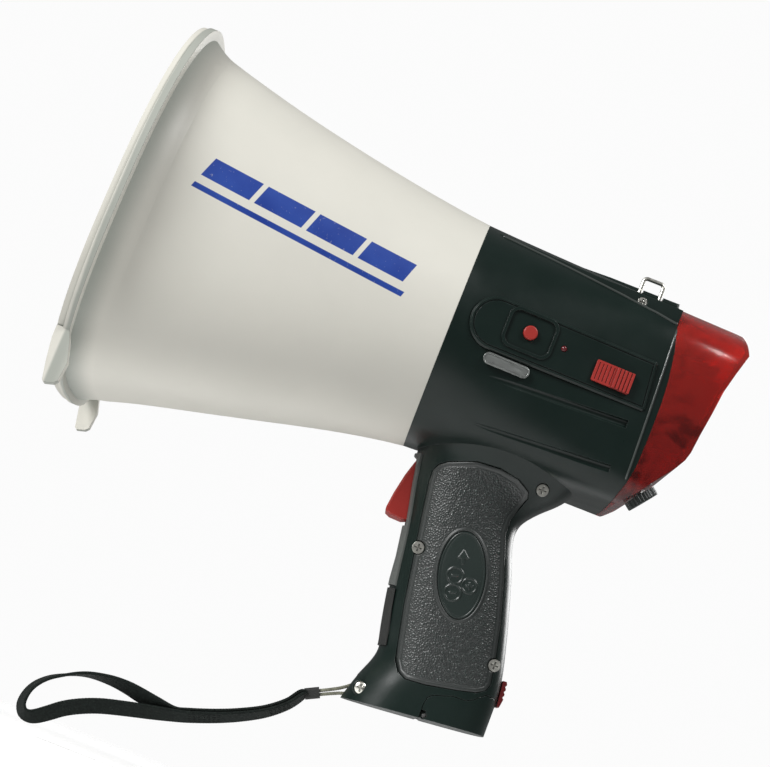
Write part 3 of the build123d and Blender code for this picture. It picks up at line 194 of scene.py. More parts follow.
def plastic(name, col, rough=0.42, spark=2200.0, bump=0.12, dist=0.00006, var=0.10, edge=0.25, coat=0.0, spec=0.4, ao=0.55, rad=0.00035):
    """Moulded plastic: spark-eroded micro texture, faint mottling, lighter edges that are partly rubbed wear and partly
    painted highlight, and painted shade darkening the crevices.
    """
    t = NT(name)
    big = t.noise(35.0, 3.0, 0.55)
    fine = t.noise(spark, 2.0, 0.6)
    dark = tuple(c * (1 - var) for c in col)
    lite = tuple(min(1.0, c * (1 + var) + 0.002) for c in col)
    base = t.mixc(t.remap(big, 0.3, 0.7), dark, lite)
    base = t.mixc(t.remap(fine, 0.25, 0.8, 0.0, 0.35), base, tuple(min(1, c * 1.25 + 0.004) for c in col))
    if edge:
        # edges painted lighter: a painted highlight along the edges, broken up by noise like rubbed wear
        patchy_mask = t.math("MULTIPLY", edges(t), t.remap(t.noise(140.0, 3.0), 0.35, 0.75, 0.15, 1.0))
        base = t.mixc(t.math("MULTIPLY", patchy_mask, edge), base, tuple(min(1, c * 1.7 + 0.03) for c in col))
    # painted shade: the ambient-occlusion mask darkens crevices and recesses
    if ao:
        base = t.mixc(t.remap(crevice(t), 0.35, 0.95, ao, 0.0), base, tuple(c * 0.25 for c in col))
    t.set(Base_Color=base, Roughness=t.remap(t.noise(60.0, 4.0), 0.2, 0.8, rough - 0.05, rough + 0.07))
    t.set(Normal=t.bump(fine, bump, dist, rounded(t, rad)))
    t.set(Specular_IOR_Level=spec)
    if coat:
        t.set(Coat_Weight=coat, Coat_Roughness=0.15)
    return t.mat


def metal(name, col, rough=0.25, scale=(1, 1, 1), streak=400.0, bump=0.05, aniso=0.0, var=0.12):
    t = NT(name)
    v = t.obj(scale=scale)
    n = t.noise(streak, 4.0, 0.6, v)
    big = t.noise(40.0, 3.0)
    base = t.mixc(t.remap(n, 0.3, 0.7), tuple(c * (1 - var) for c in col), tuple(min(1, c * (1 + var)) for c in col))
    tarn = t.mixc(t.remap(big, 0.55, 0.8, 0, 0.35), base, tuple(c * 0.6 for c in col))
    # painted shade: crevices darkened nearly to black from the ambient-occlusion mask
    crevice_shade = t.mixc(t.remap(crevice(t, 0.001), 0.3, 0.9, 0.85, 0.0), tarn, (0.02, 0.02, 0.018))
    t.set(Base_Color=crevice_shade, Metallic=1.0, Roughness=t.remap(n, 0.2, 0.8, rough * 0.75, rough * 1.35), Normal=t.bump(n, bump, 0.00004, rounded(t, 0.00025)))
    if aniso:
        t.set(Anisotropic=aniso)
    return t.mat


def leather(name, col):
    """Black moulded leather grain: the pebbles are real; this adds their pores, painted shade in the gaps between them,
    and lighter crowns that are partly rubbed wear and partly painted highlight.
    """
    t = NT(name)
    fine = t.noise(2600.0, 3.0)
    at = t.node("ShaderNodeAttribute", attribute_name="crown")
    crown = at.outputs["Fac"]
    # painted shade and highlight by pebble height: gaps between the pebbles darker, crowns lighter
    base = t.mixc(crown, tuple(c * 0.18 for c in col), tuple(c * 1.5 + 0.002 for c in col))
    # crowns lighter still in patches: rubbed wear and painted highlight
    rub_and_highlight = t.math("MULTIPLY", t.remap(crown, 0.6, 1.0), t.remap(t.noise(28.0, 3.0), 0.35, 0.75, 0.1, 0.8))
    base = t.mixc(rub_and_highlight, base, tuple(c * 3.2 + 0.006 for c in col))
    t.set(Base_Color=base, Roughness=t.remap(crown, 0.0, 1.0, 0.62, 0.24), Normal=t.bump(fine, 0.14, 0.00006), Specular_IOR_Level=0.85)
    return t.mat


def webbing(name, col):
    t = NT(name)
    n = t.noise(900.0, 3.0)
    fuzz = t.noise(4200.0, 2.0)
    base = t.mixc(t.remap(n, 0.3, 0.7), tuple(c * 0.6 for c in col), tuple(c * 1.5 + 0.002 for c in col))
    # painted shade: crevices darkened from the ambient-occlusion mask
    base = t.mixc(t.remap(crevice(t, 0.0008), 0.4, 0.95, 0.7, 0.0), base, tuple(c * 0.2 for c in col))
    t.set(Base_Color=base, Roughness=t.remap(fuzz, 0.3, 0.7, 0.72, 0.9), Normal=t.bump(fuzz, 0.45, 0.00012), Specular_IOR_Level=0.16)
    t.set(Sheen_Weight=0.04, Sheen_Roughness=0.4)
    return t.mat


BLACK = (0.0040, 0.0112, 0.0090)
M = {}
M["black"] = plastic("black_satin", BLACK, 0.31, 2600, 0.12, 0.00006, 0.10, 1.0, spec=0.34)
M["black_smooth"] = plastic("black_smooth", (0.017, 0.025, 0.0225), 0.28, 2600, 0.05, 0.00004, 0.08, 0.5)
# painted highlight: the beads are a lighter grey than the black housing so they read as bright edge lines
M["bead"] = plastic("black_bead_painted_highlight", (0.050, 0.058, 0.054), 0.20, 2600, 0.04, 0.00004, 0.08, 0.6, spec=0.7)
M["grain"] = leather("black_leather_grain", (0.0085, 0.0150, 0.0130))
M["grey"] = plastic("grey_satin", (0.10, 0.108, 0.102), 0.42, 2400, 0.12, 0.00006, 0.06, 0.25)
M["red"] = plastic("red_satin", (0.34, 0.028, 0.022), 0.36, 1800, 0.08, 0.00005, 0.06, 0.25)
M["red_dark"] = plastic("red_dark", (0.16, 0.012, 0.014), 0.40, 1800, 0.08, 0.00005, 0.06, 0.2)
M["horn"] = plastic("horn_white", (0.60, 0.59, 0.54), 0.40, 1600, 0.08, 0.00005, 0.03, 0.1)
M["rubber"] = plastic("rubber_black", (0.016, 0.017, 0.016), 0.62, 1400, 0.25, 0.0001, 0.12, 0.3)
M["nickel"] = metal("bright_nickel", (0.92, 0.90, 0.82), 0.30, (1, 1, 1), 500, 0.04)
M["steel"] = metal("zinc_steel", (0.60, 0.60, 0.59), 0.28, (1, 1, 1), 700, 0.05)
M["alloy"] = metal("alloy", (0.66, 0.67, 0.68), 0.34, (1, 1, 1), 900, 0.05)
M["silver"] = metal("brushed_silver", (0.60, 0.63, 0.61), 0.30, (0.15, 1, 1), 900, 0.02, 0.0, 0.05)
M["ferrite"] = plastic("ferrite", (0.035, 0.034, 0.034), 0.7, 1500, 0.3, 0.0001, 0.2, 0.2)
M["iron"] = plastic("iron_core", (0.14, 0.13, 0.11), 0.5, 900, 0.2, 0.0001, 0.15, 0.2)
M["copper"] = metal("enamelled_copper", (0.72, 0.36, 0.16), 0.25, (1, 1, 1), 2000, 0.08)
M["film"] = plastic("film_amber", (0.55, 0.40, 0.14), 0.25, 800, 0.05, 0.00004, 0.06, 0.1)
M["mirror"] = metal("vacuum_metal", (0.90, 0.90, 0.91), 0.10, (1, 1, 1), 300, 0.02, 0, 0.03)
M["board"] = plastic("solder_mask", (0.02, 0.13, 0.05), 0.3, 500, 0.08, 0.00005, 0.2, 0.1)
M["can"] = plastic("capacitor_sleeve", (0.03, 0.05, 0.16), 0.3, 700, 0.05, 0.00004, 0.1, 0.1)
M["wrap"] = plastic("cell_sleeve", (0.10, 0.11, 0.13), 0.3, 700, 0.05, 0.00004, 0.1, 0.1)
M["holder"] = plastic("holder_black", (0.03, 0.03, 0.03), 0.45, 1500, 0.1, 0.00005, 0.1, 0.2)
M["wire"] = plastic("pvc_red", (0.45, 0.03, 0.03), 0.4, 900, 0.05, 0.00004, 0.1, 0.1)
M["switch"] = plastic("switch_black", (0.02, 0.02, 0.02), 0.35, 1500, 0.08, 0.00005, 0.1, 0.2)


def lens_red():
    """Clear red moulding with painted shade: darker towards its lower end and in mottled dark patches."""
    t = NT("translucent_red")
    fine = t.noise(900.0, 2.0)
    big = t.noise(30.0, 3.0)
    col = t.mixc(t.remap(big, 0.3, 0.7), (0.66, 0.040, 0.030), (0.76, 0.060, 0.045))
    sep = t.node("ShaderNodeSeparateXYZ")
    t.link(t.coord.outputs["Object"], sep.inputs[0])
    low = t.remap(sep.outputs["Z"], 0.108, 0.050, 0.0, 1.0, True)
    patch = t.remap(t.noise(62.0, 4.0, 0.7, None, 0.6), 0.50, 0.62, 0.0, 0.85)
    shade = t.math("MULTIPLY", patch, t.remap(low, 0.0, 1.0, 0.25, 1.0))
    # painted shade: lower end darkened, then the dark patches on top
    col = t.mixc(t.math("MULTIPLY", low, 0.62), col, (0.30, 0.012, 0.012))
    col = t.mixc(shade, col, (0.10, 0.010, 0.009))
    t.set(Base_Color=col, Roughness=t.remap(fine, 0.2, 0.8, 0.10, 0.22), IOR=1.45, Transmission_Weight=0.72, Normal=t.bump(fine, 0.04, 0.00004, rounded(t, 0.0005)))
    t.set(Specular_IOR_Level=0.35)
    return t.mat


def led_red():
    t = NT("led_red")
    n = t.noise(700.0, 2.0)
    t.set(Base_Color=t.mixc(t.remap(n, 0.3, 0.7), (0.14, 0.020, 0.024), (0.20, 0.035, 0.040)), Roughness=t.remap(n, 0.3, 0.7, 0.10, 0.20), Transmission_Weight=0.25, IOR=1.5)
    return t.mat


def glass_clear():
    t = NT("tube_glass")
    n = t.noise(300.0, 2.0)
    t.set(Base_Color=t.mixc(t.remap(n, 0.3, 0.7), (0.92, 0.95, 0.95), (0.98, 0.98, 0.98)), Roughness=t.remap(n, 0.3, 0.7, 0.02, 0.06), Transmission_Weight=0.9, IOR=1.47)
    return t.mat


M["lens"] = lens_red()
M["led"] = led_red()
M["glass"] = glass_clear()
M["web"] = webbing("webbing_black", (0.0045, 0.0075, 0.0062))
M["cord"] = webbing("cord_tan", (0.17, 0.172, 0.132))
M["thread"] = webbing("thread_black", (0.020, 0.023, 0.021))


def bell_white():
    """White moulding with a plain printed band on the left side."""
    t = NT("bell_white")
    big = t.noise(22.0, 3.0, 0.55)
    fine = t.noise(1500.0, 2.0, 0.6)
    base = t.mixc(t.remap(big, 0.3, 0.7), (0.685, 0.672, 0.606), (0.715, 0.70, 0.632))
    sep = t.node("ShaderNodeSeparateXYZ")
    t.link(t.coord.outputs["Object"], sep.inputs[0])
    X = t.math("MULTIPLY_ADD", sep.outputs["X"], 1000.0, -SHIFT[0])
    Z = t.math("MULTIPLY_ADD", sep.outputs["Z"], 1000.0, -SHIFT[2])

    def band(v, lo, hi, soft=0.12):
        return t.math("MULTIPLY", t.remap(v, lo - soft, lo + soft), t.remap(v, hi - soft, hi + soft, 1.0, 0.0))

    Zb = t.math("MULTIPLY_ADD", X, 0.080, Z)        # along the printed line
    Xs = t.math("MULTIPLY_ADD", Z, -0.32, X)        # slanted ends
    bar = t.math("MULTIPLY", band(Zb, 2.6, 13.4), band(Xs, -139.0, -30.0))
    for gap in (-112.0, -84.0, -56.0):
        bar = t.math("MULTIPLY", bar, t.math("SUBTRACT", 1.0, band(Xs, gap - 1.3, gap + 1.3)))
    thin = t.math("MULTIPLY", band(Zb, -4.4, -1.6), band(Xs, -139.0, -26.0))
    ink = t.math("MAXIMUM", bar, thin)
    geo = t.node("ShaderNodeNewGeometry")
    sn = t.node("ShaderNodeSeparateXYZ")
    t.link(geo.outputs["True Normal"], sn.inputs[0])
    outw = t.math("ADD", t.math("MULTIPLY", sn.outputs["Y"], t.math("MULTIPLY", sep.outputs["Y"], 10.0)),
                  t.math("MULTIPLY", sn.outputs["Z"], t.math("MULTIPLY", Z, 0.01)))
    near = t.math("MULTIPLY", t.remap(sep.outputs["Y"], -0.0005, 0.0005, 1.0, 0.0), t.remap(outw, 0.05, 0.15))
    ink = t.math("MULTIPLY", ink, near)
    patchy_mask = t.remap(t.noise(700.0, 3.0), 0.22, 0.34, 0.65, 1.0)
    blue = t.mixc(t.remap(t.noise(60.0, 3.0), 0.3, 0.7), (0.010, 0.040, 0.265), (0.016, 0.060, 0.33))
    base = t.mixc(t.math("MULTIPLY", ink, patchy_mask), base, blue)
    # painted shade: broad ambient-occlusion darkening behind the flange and in the hollows
    a = t.node("ShaderNodeAmbientOcclusion")
    a.samples = 12
    a.inputs["Distance"].default_value = 0.016
    base = t.mixc(t.remap(a.outputs["AO"], 0.40, 0.92, 0.72, 0.0), base, (0.18, 0.20, 0.175))
    # painted shade held in the outside corner behind the flange, with a noisy edge
    back = t.math("ADD", X, t.math("MULTIPLY", t.noise(30.0, 3.0), 1.6))
    crease_shade = t.math("MULTIPLY", t.remap(back, -164.9, -163.3, 0.0, 1.0, True), t.remap(back, -161.5, -150.0, 1.0, 0.0, True))
    crease_shade = t.math("MULTIPLY", crease_shade, t.remap(outw, 0.1, 0.4))
    base = t.mixc(t.math("MULTIPLY", crease_shade, 0.62), base, (0.20, 0.235, 0.21))
    t.set(Base_Color=base, Roughness=t.remap(t.noise(60.0, 4.0), 0.2, 0.8, 0.38, 0.50), Specular_IOR_Level=0.4)
    t.set(Normal=t.bump(fine, 0.10, 0.00006, rounded(t, 0.0005)))
    return t.mat


M["bell"] = bell_white()


def assign(mat, *names):
    for n in names:
        o = N[n]
        o.data.materials.clear()
        o.data.materials.append(mat)


assign(M["bell"], "bell")
assign(M["horn"], "tone_tube", "reflector", "driver_cap")
assign(M["black"], "left_housing", "right_housing", "control_panel", "battery_door", "rear_bulkhead")
assign(M["black_smooth"], "left_emblem", "right_emblem", "mic_cup", "volume_knob")
assign(M["grain"], "left_grip_panel", "right_grip_panel")
assign(M["grey"], "trigger_bezel")
assign(M["red"], "siren_button", "slide_knob", "trigger")
assign(M["red_dark"], "battery_latch")
assign(M["rubber"], "rib_insert", "mic_mount", "wrist_strap", "strap_cord")
assign(M["nickel"], "d_ring", "housing_screws", "lug_screw", "ridge_screw", "horn_screws", "driver_screws", "battery_contacts")
assign(M["steel"], "trigger_pin", "trigger_spring", "top_plate", "back_plate", "door_pin", "mic_grille", "volume_pot")
assign(M["alloy"], "heat_sink", "mic_capsule")
assign(M["rubber"], "strap_crimp")
assign(M["silver"], "label_plate")
assign(M["ferrite"], "magnet")
assign(M["iron"], "transformer")
assign(M["copper"], "voice_coil")
assign(M["film"], "diaphragm")
assign(M["mirror"], "strobe_reflector")
assign(M["board"], "main_board", "strobe_board")
assign(M["can"], "capacitors")
assign(M["wrap"], "batteries")
assign(M["holder"], "battery_holder")
assign(M["wire"], "speaker_wires", "battery_wires")
assign(M["switch"], "button_switch", "slide_switch", "ptt_switch")
assign(M["lens"], "rear_lens")
assign(M["led"], "status_led")
assign(M["glass"], "xenon_tube")

# ------------------------------------------------------------ mesh helpers


def sstep(a, b, v):
    t = np.clip((v - a) / (b - a), 0.0, 1.0)
    return t * t * (3 - 2 * t)


def new_obj(name, verts, faces, mat, body):
    me = bpy.data.meshes.new(name)
    me.from_pydata([tuple(map(float, v)) for v in verts], [], faces)
    me.update()
    o = bpy.data.objects.new(name, me)
    bpy.context.scene.collection.objects.link(o)
    me.materials.append(mat)
    me.polygons.foreach_set("use_smooth", [True] * len(me.polygons))
    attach(o, body)
    return o


# ------------------------------------------- grip panels with real leather grain
PANEL = [(17.9, -68.2), (19.6, -64.6), (23.2, -62.2), (37.0, -57.6), (48.4, -56.9), (58.5, -58.6), (65.2, -62.2),
         (66.2, -65.0), (64.9, -69.0), (62.3, -77.1), (62.4, -84.5), (70.1, -106.0), (76.2, -126.6), (80.0, -143.8),
         (81.9, -155.2), (80.8, -158.6), (76.6, -161.6), (67.7, -164.0), (52.4, -167.2), (42.4, -168.0),
         (37.9, -166.0), (34.7, -160.9), (28.8, -134.0), (20.9, -90.2), (18.3, -74.1)]
SCREWS = [(71.2, -58.8), (25.2, -106.2), (80.2, -146.0)]
EMB_C, EMB_T, EMB_A, EMB_B = (49.6, -111.6), math.radians(15.8), 11.6, 21.4


def poly_dist(P, poly):
    """Signed distance of points to a closed outline, inside positive."""
    A = np.array(poly)
    B = np.roll(A, -1, axis=0)
    best = np.full(len(P), 1e9)
    inside = np.zeros(len(P), bool)
    for a, b in zip(A, B):
        ab = b - a
        t = np.clip(((P - a) @ ab) / (ab @ ab), 0, 1)
        best = np.minimum(best, np.hypot(*(P - a - t[:, None] * ab).T))
        cond = (a[1] > P[:, 1]) != (b[1] > P[:, 1])
        with np.errstate(divide="ignore", invalid="ignore"):
            xs = (b[0] - a[0]) * (P[:, 1] - a[1]) / (b[1] - a[1]) + a[0]
        inside ^= cond & (P[:, 0] < xs)
    return np.where(inside, best, -best)


def emb_uv(P):
    q = P - np.array(EMB_C)
    return q @ np.array([math.cos(EMB_T), math.sin(EMB_T)]), q @ np.array([-math.sin(EMB_T), math.cos(EMB_T)])


def emb_dist(P):
    """Distance outside the emblem's oval, negative inside."""
    u, v = emb_uv(P)
    e = np.sqrt((u / EMB_A) ** 2 + (v / EMB_B) ** 2) + 1e-9
    g = np.sqrt((u / EMB_A ** 2) ** 2 + (v / EMB_B ** 2) ** 2) / e + 1e-9
    return (e - 1) / g


def ring_points(poly, step):
    out = []
    for (ax, az), (bx, bz) in zip(poly, poly[1:] + poly[:1]):
        n = max(1, round(math.hypot(bx - ax, bz - az) / step))
        out += [(ax + (bx - ax) * k / n, az + (bz - az) * k / n) for k in range(n)]
    return out


def emb_ring(grow, n):
    c, s = math.cos(EMB_T), math.sin(EMB_T)
    return [(EMB_C[0] + (EMB_A + grow) * math.cos(a) * c - (EMB_B + grow) * math.sin(a) * s,
             EMB_C[1] + (EMB_A + grow) * math.cos(a) * s + (EMB_B + grow) * math.sin(a) * c) for a in (2 * math.pi * k / n for k in range(n))]


def lattice(x0, x1, z0, z1, step):
    rows = int((z1 - z0) / (step * 0.866)) + 1
    cols = int((x1 - x0) / step) + 1
    j, i = np.mgrid[0:rows, 0:cols]
    return np.stack([(x0 + (i + 0.5 * (j % 2)) * step).ravel(), (z0 + j * step * 0.866).ravel()], 1)


def triangulate(loops, pts, keep):
    """Constrained triangulation of boundary loops and interior points; keep() picks the triangles."""
    verts, edges = [], []
    for lp in loops:
        n0 = len(verts)
        verts += lp
        edges += [(n0 + k, n0 + (k + 1) % len(lp)) for k in range(len(lp))]
    verts += [tuple(p) for p in pts]
    vo, eo, fo = delaunay_2d_cdt([Vector(v) for v in verts], edges, [], 0, 1e-5)[:3]
    V = np.array([tuple(v) for v in vo])
    F = np.array([tuple(f) for f in fo])
    F = F[keep(V[F].mean(axis=1))]
    used = np.unique(F)
    remap = -np.ones(len(V), int)
    remap[used] = np.arange(len(used))
    return V[used], remap[F]


def boundary_loops(F):
    nxt = {}
    seen = {(int(a), int(b)) for f in F for a, b in ((f[0], f[1]), (f[1], f[2]), (f[2], f[0]))}
    for a, b in seen:
        if (b, a) not in seen:
            nxt[a] = b
    loops = []
    while nxt:
        a = next(iter(nxt))
        lp = []
        while a in nxt:
            lp.append(a)
            a = nxt.pop(a)
        loops.append(lp)
    return loops


def grip_surface(side):
    """Outer face of the plain CAD panel and emblem as a smooth y(x, z)."""
    vs, fs = [], []
    for n in (("left_grip_panel", "left_emblem") if side < 0 else ("right_grip_panel", "right_emblem")):
        m = N[n].data
        k = len(vs)
        vs += [N[n].matrix_world @ v.co for v in m.vertices]
        fs += [[k + i for i in p.vertices] for p in m.polygons]
    tree = BVHTree.FromPolygons(vs, fs)
    S = lattice(14, 86, -170, -54, 1.6)
    S = S[poly_dist(S, PANEL) > -0.1]
    hit = []
    for x, z in S:
        loc = tree.ray_cast(R(x, side * 60, z), Vector((0, -side, 0)), 0.06)[0]
        if loc is not None and abs(loc.y / MM) > 12:
            hit.append((x, z, loc.y / MM))
    H = np.array(hit)

    def basis(P):
        u, v = (P[:, 0] - 50) / 36, (P[:, 1] + 112) / 58
        return np.stack([u ** i * v ** j for i in range(7) for j in range(6) if i + j <= 8], 1)

    w = np.linalg.lstsq(basis(H[:, :2]), H[:, 2], rcond=None)[0]
    res = H[:, 2] - basis(H[:, :2]) @ w
    good = np.abs(res) < 0.25
    w = np.linalg.lstsq(basis(H[good, :2]), H[good, 2], rcond=None)[0]
    return lambda P: basis(P) @ w


rng = np.random.default_rng(7)
SEEDS = lattice(10, 90, -174, -50, 1.12)
SEEDS = SEEDS + rng.uniform(-0.44, 0.44, SEEDS.shape)
TALL = rng.uniform(0.55, 1.0, len(SEEDS))
kd = KDTree(len(SEEDS))
for i, (sx, sz) in enumerate(SEEDS):
    kd.insert((sx, sz, 0), i)
kd.balance()


def pebbles(P):
    f = np.zeros(len(P))
    for k, (x, z) in enumerate(P):
        w = noise.noise_vector((x * 0.42, z * 0.42, 3.1))
        a, b = kd.find_n((x + w.x * 0.75, z + w.y * 0.75, 0), 2)
        t = min(1.0, (b[2] - a[2]) / 0.55)
        f[k] = (t * t * (3 - 2 * t)) * TALL[a[1]]
    return f


def panel_relief(P):
    d, de = poly_dist(P, PANEL), emb_dist(P)
    h = -0.40 * np.clip(1 - d / 0.55, 0, 1) ** 2
    h += -0.34 * np.exp(-((d - 2.3) / 0.30) ** 2) + 0.10 * np.exp(-((d - 1.35) / 0.5) ** 2)
    g = sstep(2.7, 3.2, d) * sstep(1.9, 2.4, de)
    for sx, sz in SCREWS:
        g *= sstep(4.2, 4.7, np.hypot(P[:, 0] - sx, P[:, 1] - sz))
    crown = np.full(len(P), 0.38)
    idx = np.where(g > 0.01)[0]
    pb = pebbles(P[idx])
    h[idx] += g[idx] * (0.46 * pb - 0.22)
    crown[idx] = crown[idx] * (1 - g[idx]) + g[idx] * pb
    rim = np.clip(1 - ((de - 0.8) / 0.75) ** 2, 0, 1)
    h += 0.38 * rim - 0.22 * np.exp(-((de - 1.85) / 0.25) ** 2) - 0.2 * np.clip(1 - de / 0.25, 0, 1)
    return h, crown


def emblem_relief(P):
    di = -emb_dist(P)
    u, v = emb_uv(P)
    h = -0.25 * np.clip(1 - di / 0.3, 0, 1) + 0.20 * np.clip(1 - ((di - 0.75) / 0.45) ** 2, 0, 1) - 0.16 * np.exp(-((di - 1.45) / 0.25) ** 2)
    for (cx, cz), r, plus in (((46.7, -112.9), 3.9, False), ((54.9, -115.2), 3.6, True), ((48.6, -121.0), 3.9, False)):
        q = np.hypot(P[:, 0] - cx, P[:, 1] - cz)
        h += 0.40 * sstep(0.50, 0.20, np.abs(q - r))
        cu, cv = emb_uv(np.array([[cx, cz]]))
        a, b = np.abs(u - cu[0]), np.abs(v - cv[0])
        bar = np.maximum(a - 1.8, b - 0.42)
        if plus:
            bar = np.minimum(bar, np.maximum(a - 0.42, b - 1.8))
        h += 0.38 * sstep(0.14, -0.14, bar)
    # plain up arrow
    t = 12.6 - v
    arrow = np.maximum(np.abs(u) - 0.62 * t, t - 4.6)
    stem = np.maximum(np.abs(u) - 0.75, np.maximum(v - 8.4, 5.2 - v))
    h += 0.38 * sstep(0.16, -0.16, np.minimum(np.where(t > 0, arrow, 1.0), stem))
    return h, np.full(len(P), 0.5)


def relief_piece(name, side, loops, step, keep, relief, mat, nodes):
    surf = grip_surface(side)
    flat = [p for lp in loops for p in lp]
    fx, fz = [p[0] for p in flat], [p[1] for p in flat]
    L = lattice(min(fx), max(fx), min(fz), max(fz), step)
    bd = KDTree(len(flat))
    for i, p in enumerate(flat):
        bd.insert((p[0], p[1], 0), i)
    bd.balance()
    ok = keep(L)
    L = np.array([p for p, k in zip(L, ok) if k and bd.find((p[0], p[1], 0))[2] > 0.6 * step])
    V, F = triangulate(loops, L, keep)
    h, crown = relief(V)
    top = surf(V) + side * h
    # plain back on the same outline, with few inner points
    rim = boundary_loops(F)
    bset = [i for lp in rim for i in lp]
    Lc = lattice(min(fx), max(fx), min(fz), max(fz), 4.0)
    Lc = np.array([p for p, k in zip(Lc, keep(Lc)) if k and bd.find((p[0], p[1], 0))[2] > 2.0])
    bl = [[tuple(V[i]) for i in lp] for lp in rim]
    Vb, Fb = triangulate(bl, Lc, keep)
    key = {(round(float(V[i][0]), 4), round(float(V[i][1]), 4)): i for i in bset}
    n = len(V)
    back_y = surf(Vb) - side * 1.15
    verts = [R(V[i][0], top[i], V[i][1]) for i in range(n)] + [R(Vb[i][0], back_y[i], Vb[i][1]) for i in range(len(Vb))]
    pair = {}
    for j, q in enumerate(Vb):
        i = key.get((round(float(q[0]), 4), round(float(q[1]), 4)))
        if i is not None:
            pair[i] = n + j
    flip = side > 0
    faces = [tuple(int(i) for i in (f if not flip else f[::-1])) for f in F]
    faces += [tuple(n + int(i) for i in (f[::-1] if not flip else f)) for f in Fb]
    for lp in rim:
        for a, b in zip(lp, lp[1:] + lp[:1]):
            if a in pair and b in pair:
                q = (b, a, pair[a], pair[b])
                faces.append(q if not flip else q[::-1])
    o = new_obj(name, verts, faces, mat, "megaphone")
    at = o.data.attributes.new("crown", "FLOAT", "POINT")
    at.data.foreach_set("value", np.concatenate([crown, np.full(len(Vb), 0.3)]).astype(np.float32))
    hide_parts(*nodes)
    return o


def keep_panel(P):
    ok = (poly_dist(P, PANEL) > 0) & (emb_dist(P) > 0.05)
    for sx, sz in SCREWS:
        ok &= np.hypot(P[:, 0] - sx, P[:, 1] - sz) > 3.55
    return ok


def panel_loops(step):
    """Outline with the two screw bites cut out of it, and the oval hole."""
    pts = ring_points(PANEL, step)
    D = np.array(pts)
    for sx, sz in SCREWS:
        q = D - (sx, sz)
        r = np.hypot(*q.T)
        near = r < 3.58
        D[near] = np.array([sx, sz]) + q[near] / r[near][:, None] * 3.58
    loops = [[tuple(p) for p in pts]]
    circles = []
    for sx, sz in SCREWS:
        c = [(sx + 3.58 * math.cos(a), sz + 3.58 * math.sin(a)) for a in (2 * math.pi * k / 48 for k in range(48))]
        if max(poly_dist(np.array(c), PANEL)) > 0:
            circles.append(c)
    return loops + circles + [emb_ring(0.05, 260)]


for side, tag in ((-1, "left"), (1, "right")):
    relief_piece(tag + "_grip_skin", side, panel_loops(0.4), 0.38, keep_panel, panel_relief, M["grain"], [tag + "_grip_panel"])
    relief_piece(tag + "_emblem_skin", side, [emb_ring(-0.05, 240)], 0.33, lambda P: emb_dist(P) < -0.04, emblem_relief, M["black_smooth"], [tag + "_emblem"])


# ------------------------------------------------------------ wrist strap
def catmull(P, n, closed=False):
    P = np.array(P, float)
    m = len(P)
    out = []
    for i in range(m if closed else m - 1):
        a, b, c_, d = (P[(i + k) % m] if closed else P[min(max(i + k, 0), m - 1)] for k in (-1, 0, 1, 2))
        for t in np.linspace(0, 1, n, endpoint=False):
            out.append(0.5 * (2 * b + (c_ - a) * t + (2 * a - 5 * b + 4 * c_ - d) * t * t + (3 * b - a - 3 * c_ + d) * t ** 3))
    if not closed:
        out.append(P[-1])
    return np.array(out)


def resample(P, step, closed=False):
    Q = np.vstack([P, P[:1]]) if closed else P
    s = np.concatenate([[0], np.cumsum(np.linalg.norm(np.diff(Q, axis=0), axis=1))])
    n = max(8, int(round(s[-1] / step)))
    t = np.linspace(0, s[-1], n, endpoint=not closed)
    return np.stack([np.interp(t, s, Q[:, k]) for k in range(Q.shape[1])], 1), t, s[-1]


JOIN = [(-1.2, -192.4), (-6.0, -199.2), (-14.5, -206.4), (-25.0, -212.4), (-36.0, -217.4), (-48.4, -222.0), (-56.0, -224.2)]
LOOP = [(-66.0, -227.4), (-78.0, -230.3), (-90.0, -233.6), (-99.0, -237.2), (-106.6, -241.4), (-112.8, -246.2), (-117.5, -249.6), (-121.0, -251.0),
        (-124.4, -250.4), (-126.6, -247.2), (-126.8, -243.0), (-125.6, -238.4), (-123.0, -234.2), (-118.6, -230.0), (-112.8, -226.5),
        (-107.2, -223.7), (-101.4, -221.8), (-95.0, -220.8), (-88.2, -220.4), (-81.0, -220.8), (-74.3, -221.8), (-66.0, -222.9)]
# columns: x, z, layer offset along the normal, turn of the band in degrees (its sense
# runs through zero on the far arc, so that both layers of the sewn part lie flat together)
JT = [14, 18, 22, 26, 29, 32, 36]
LT = [42, 46, 48, 48, 47, 45, 42, 38, 34, 30, 26, 21, 16, 10, 4, -3, -11, -20, -30, -40, -47, -46]
base = [(x, z, -0.86, t) for (x, z), t in zip(JOIN, JT)]
base += [(x, z, 0.0, t) for (x, z), t in zip(LOOP, LT)]
base += [(x, z, 0.86, -t) for (x, z), t in reversed(list(zip(JOIN, JT)))]
# fold round the crimp end
base.append((0.55, -191.05, 0.0, 0))
fine = catmull(base, 40, True)
line, t_s, total = resample(fine, 0.40, True)
nl = len(line)
# direction of the centre line without layer offset, smoothed; the return layer runs backwards
tan = np.roll(line[:, :2], -3, 0) - np.roll(line[:, :2], 3, 0)
ln_ = np.hypot(*tan.T)
nrm = np.stack([-tan[:, 1], tan[:, 0]], 1) / np.maximum(ln_, 1e-9)[:, None]
pos = np.zeros((nl, 3))
pos[:, 0], pos[:, 2] = line[:, 0], line[:, 1]
up_ref = np.array([0.45, 0.0, 1.0]) / math.hypot(0.45, 1.0)
off = line[:, 2]
sig = np.radians(line[:, 3])
for i in range(nl):
    n3 = np.array([nrm[i, 0], 0.0, nrm[i, 1]])
    # layers sit either side of the middle: lower layer first, upper layer on the way back
    s = 1.0 if n3 @ up_ref > 0 else -1.0
    m3 = n3 * s * math.cos(sig[i]) + np.array([0, 1.0, 0]) * abs(math.sin(sig[i]))
    pos[i] += m3 * off[i]
T = np.roll(pos, -2, 0) - np.roll(pos, 2, 0)
T /= np.linalg.norm(T, axis=1)[:, None]
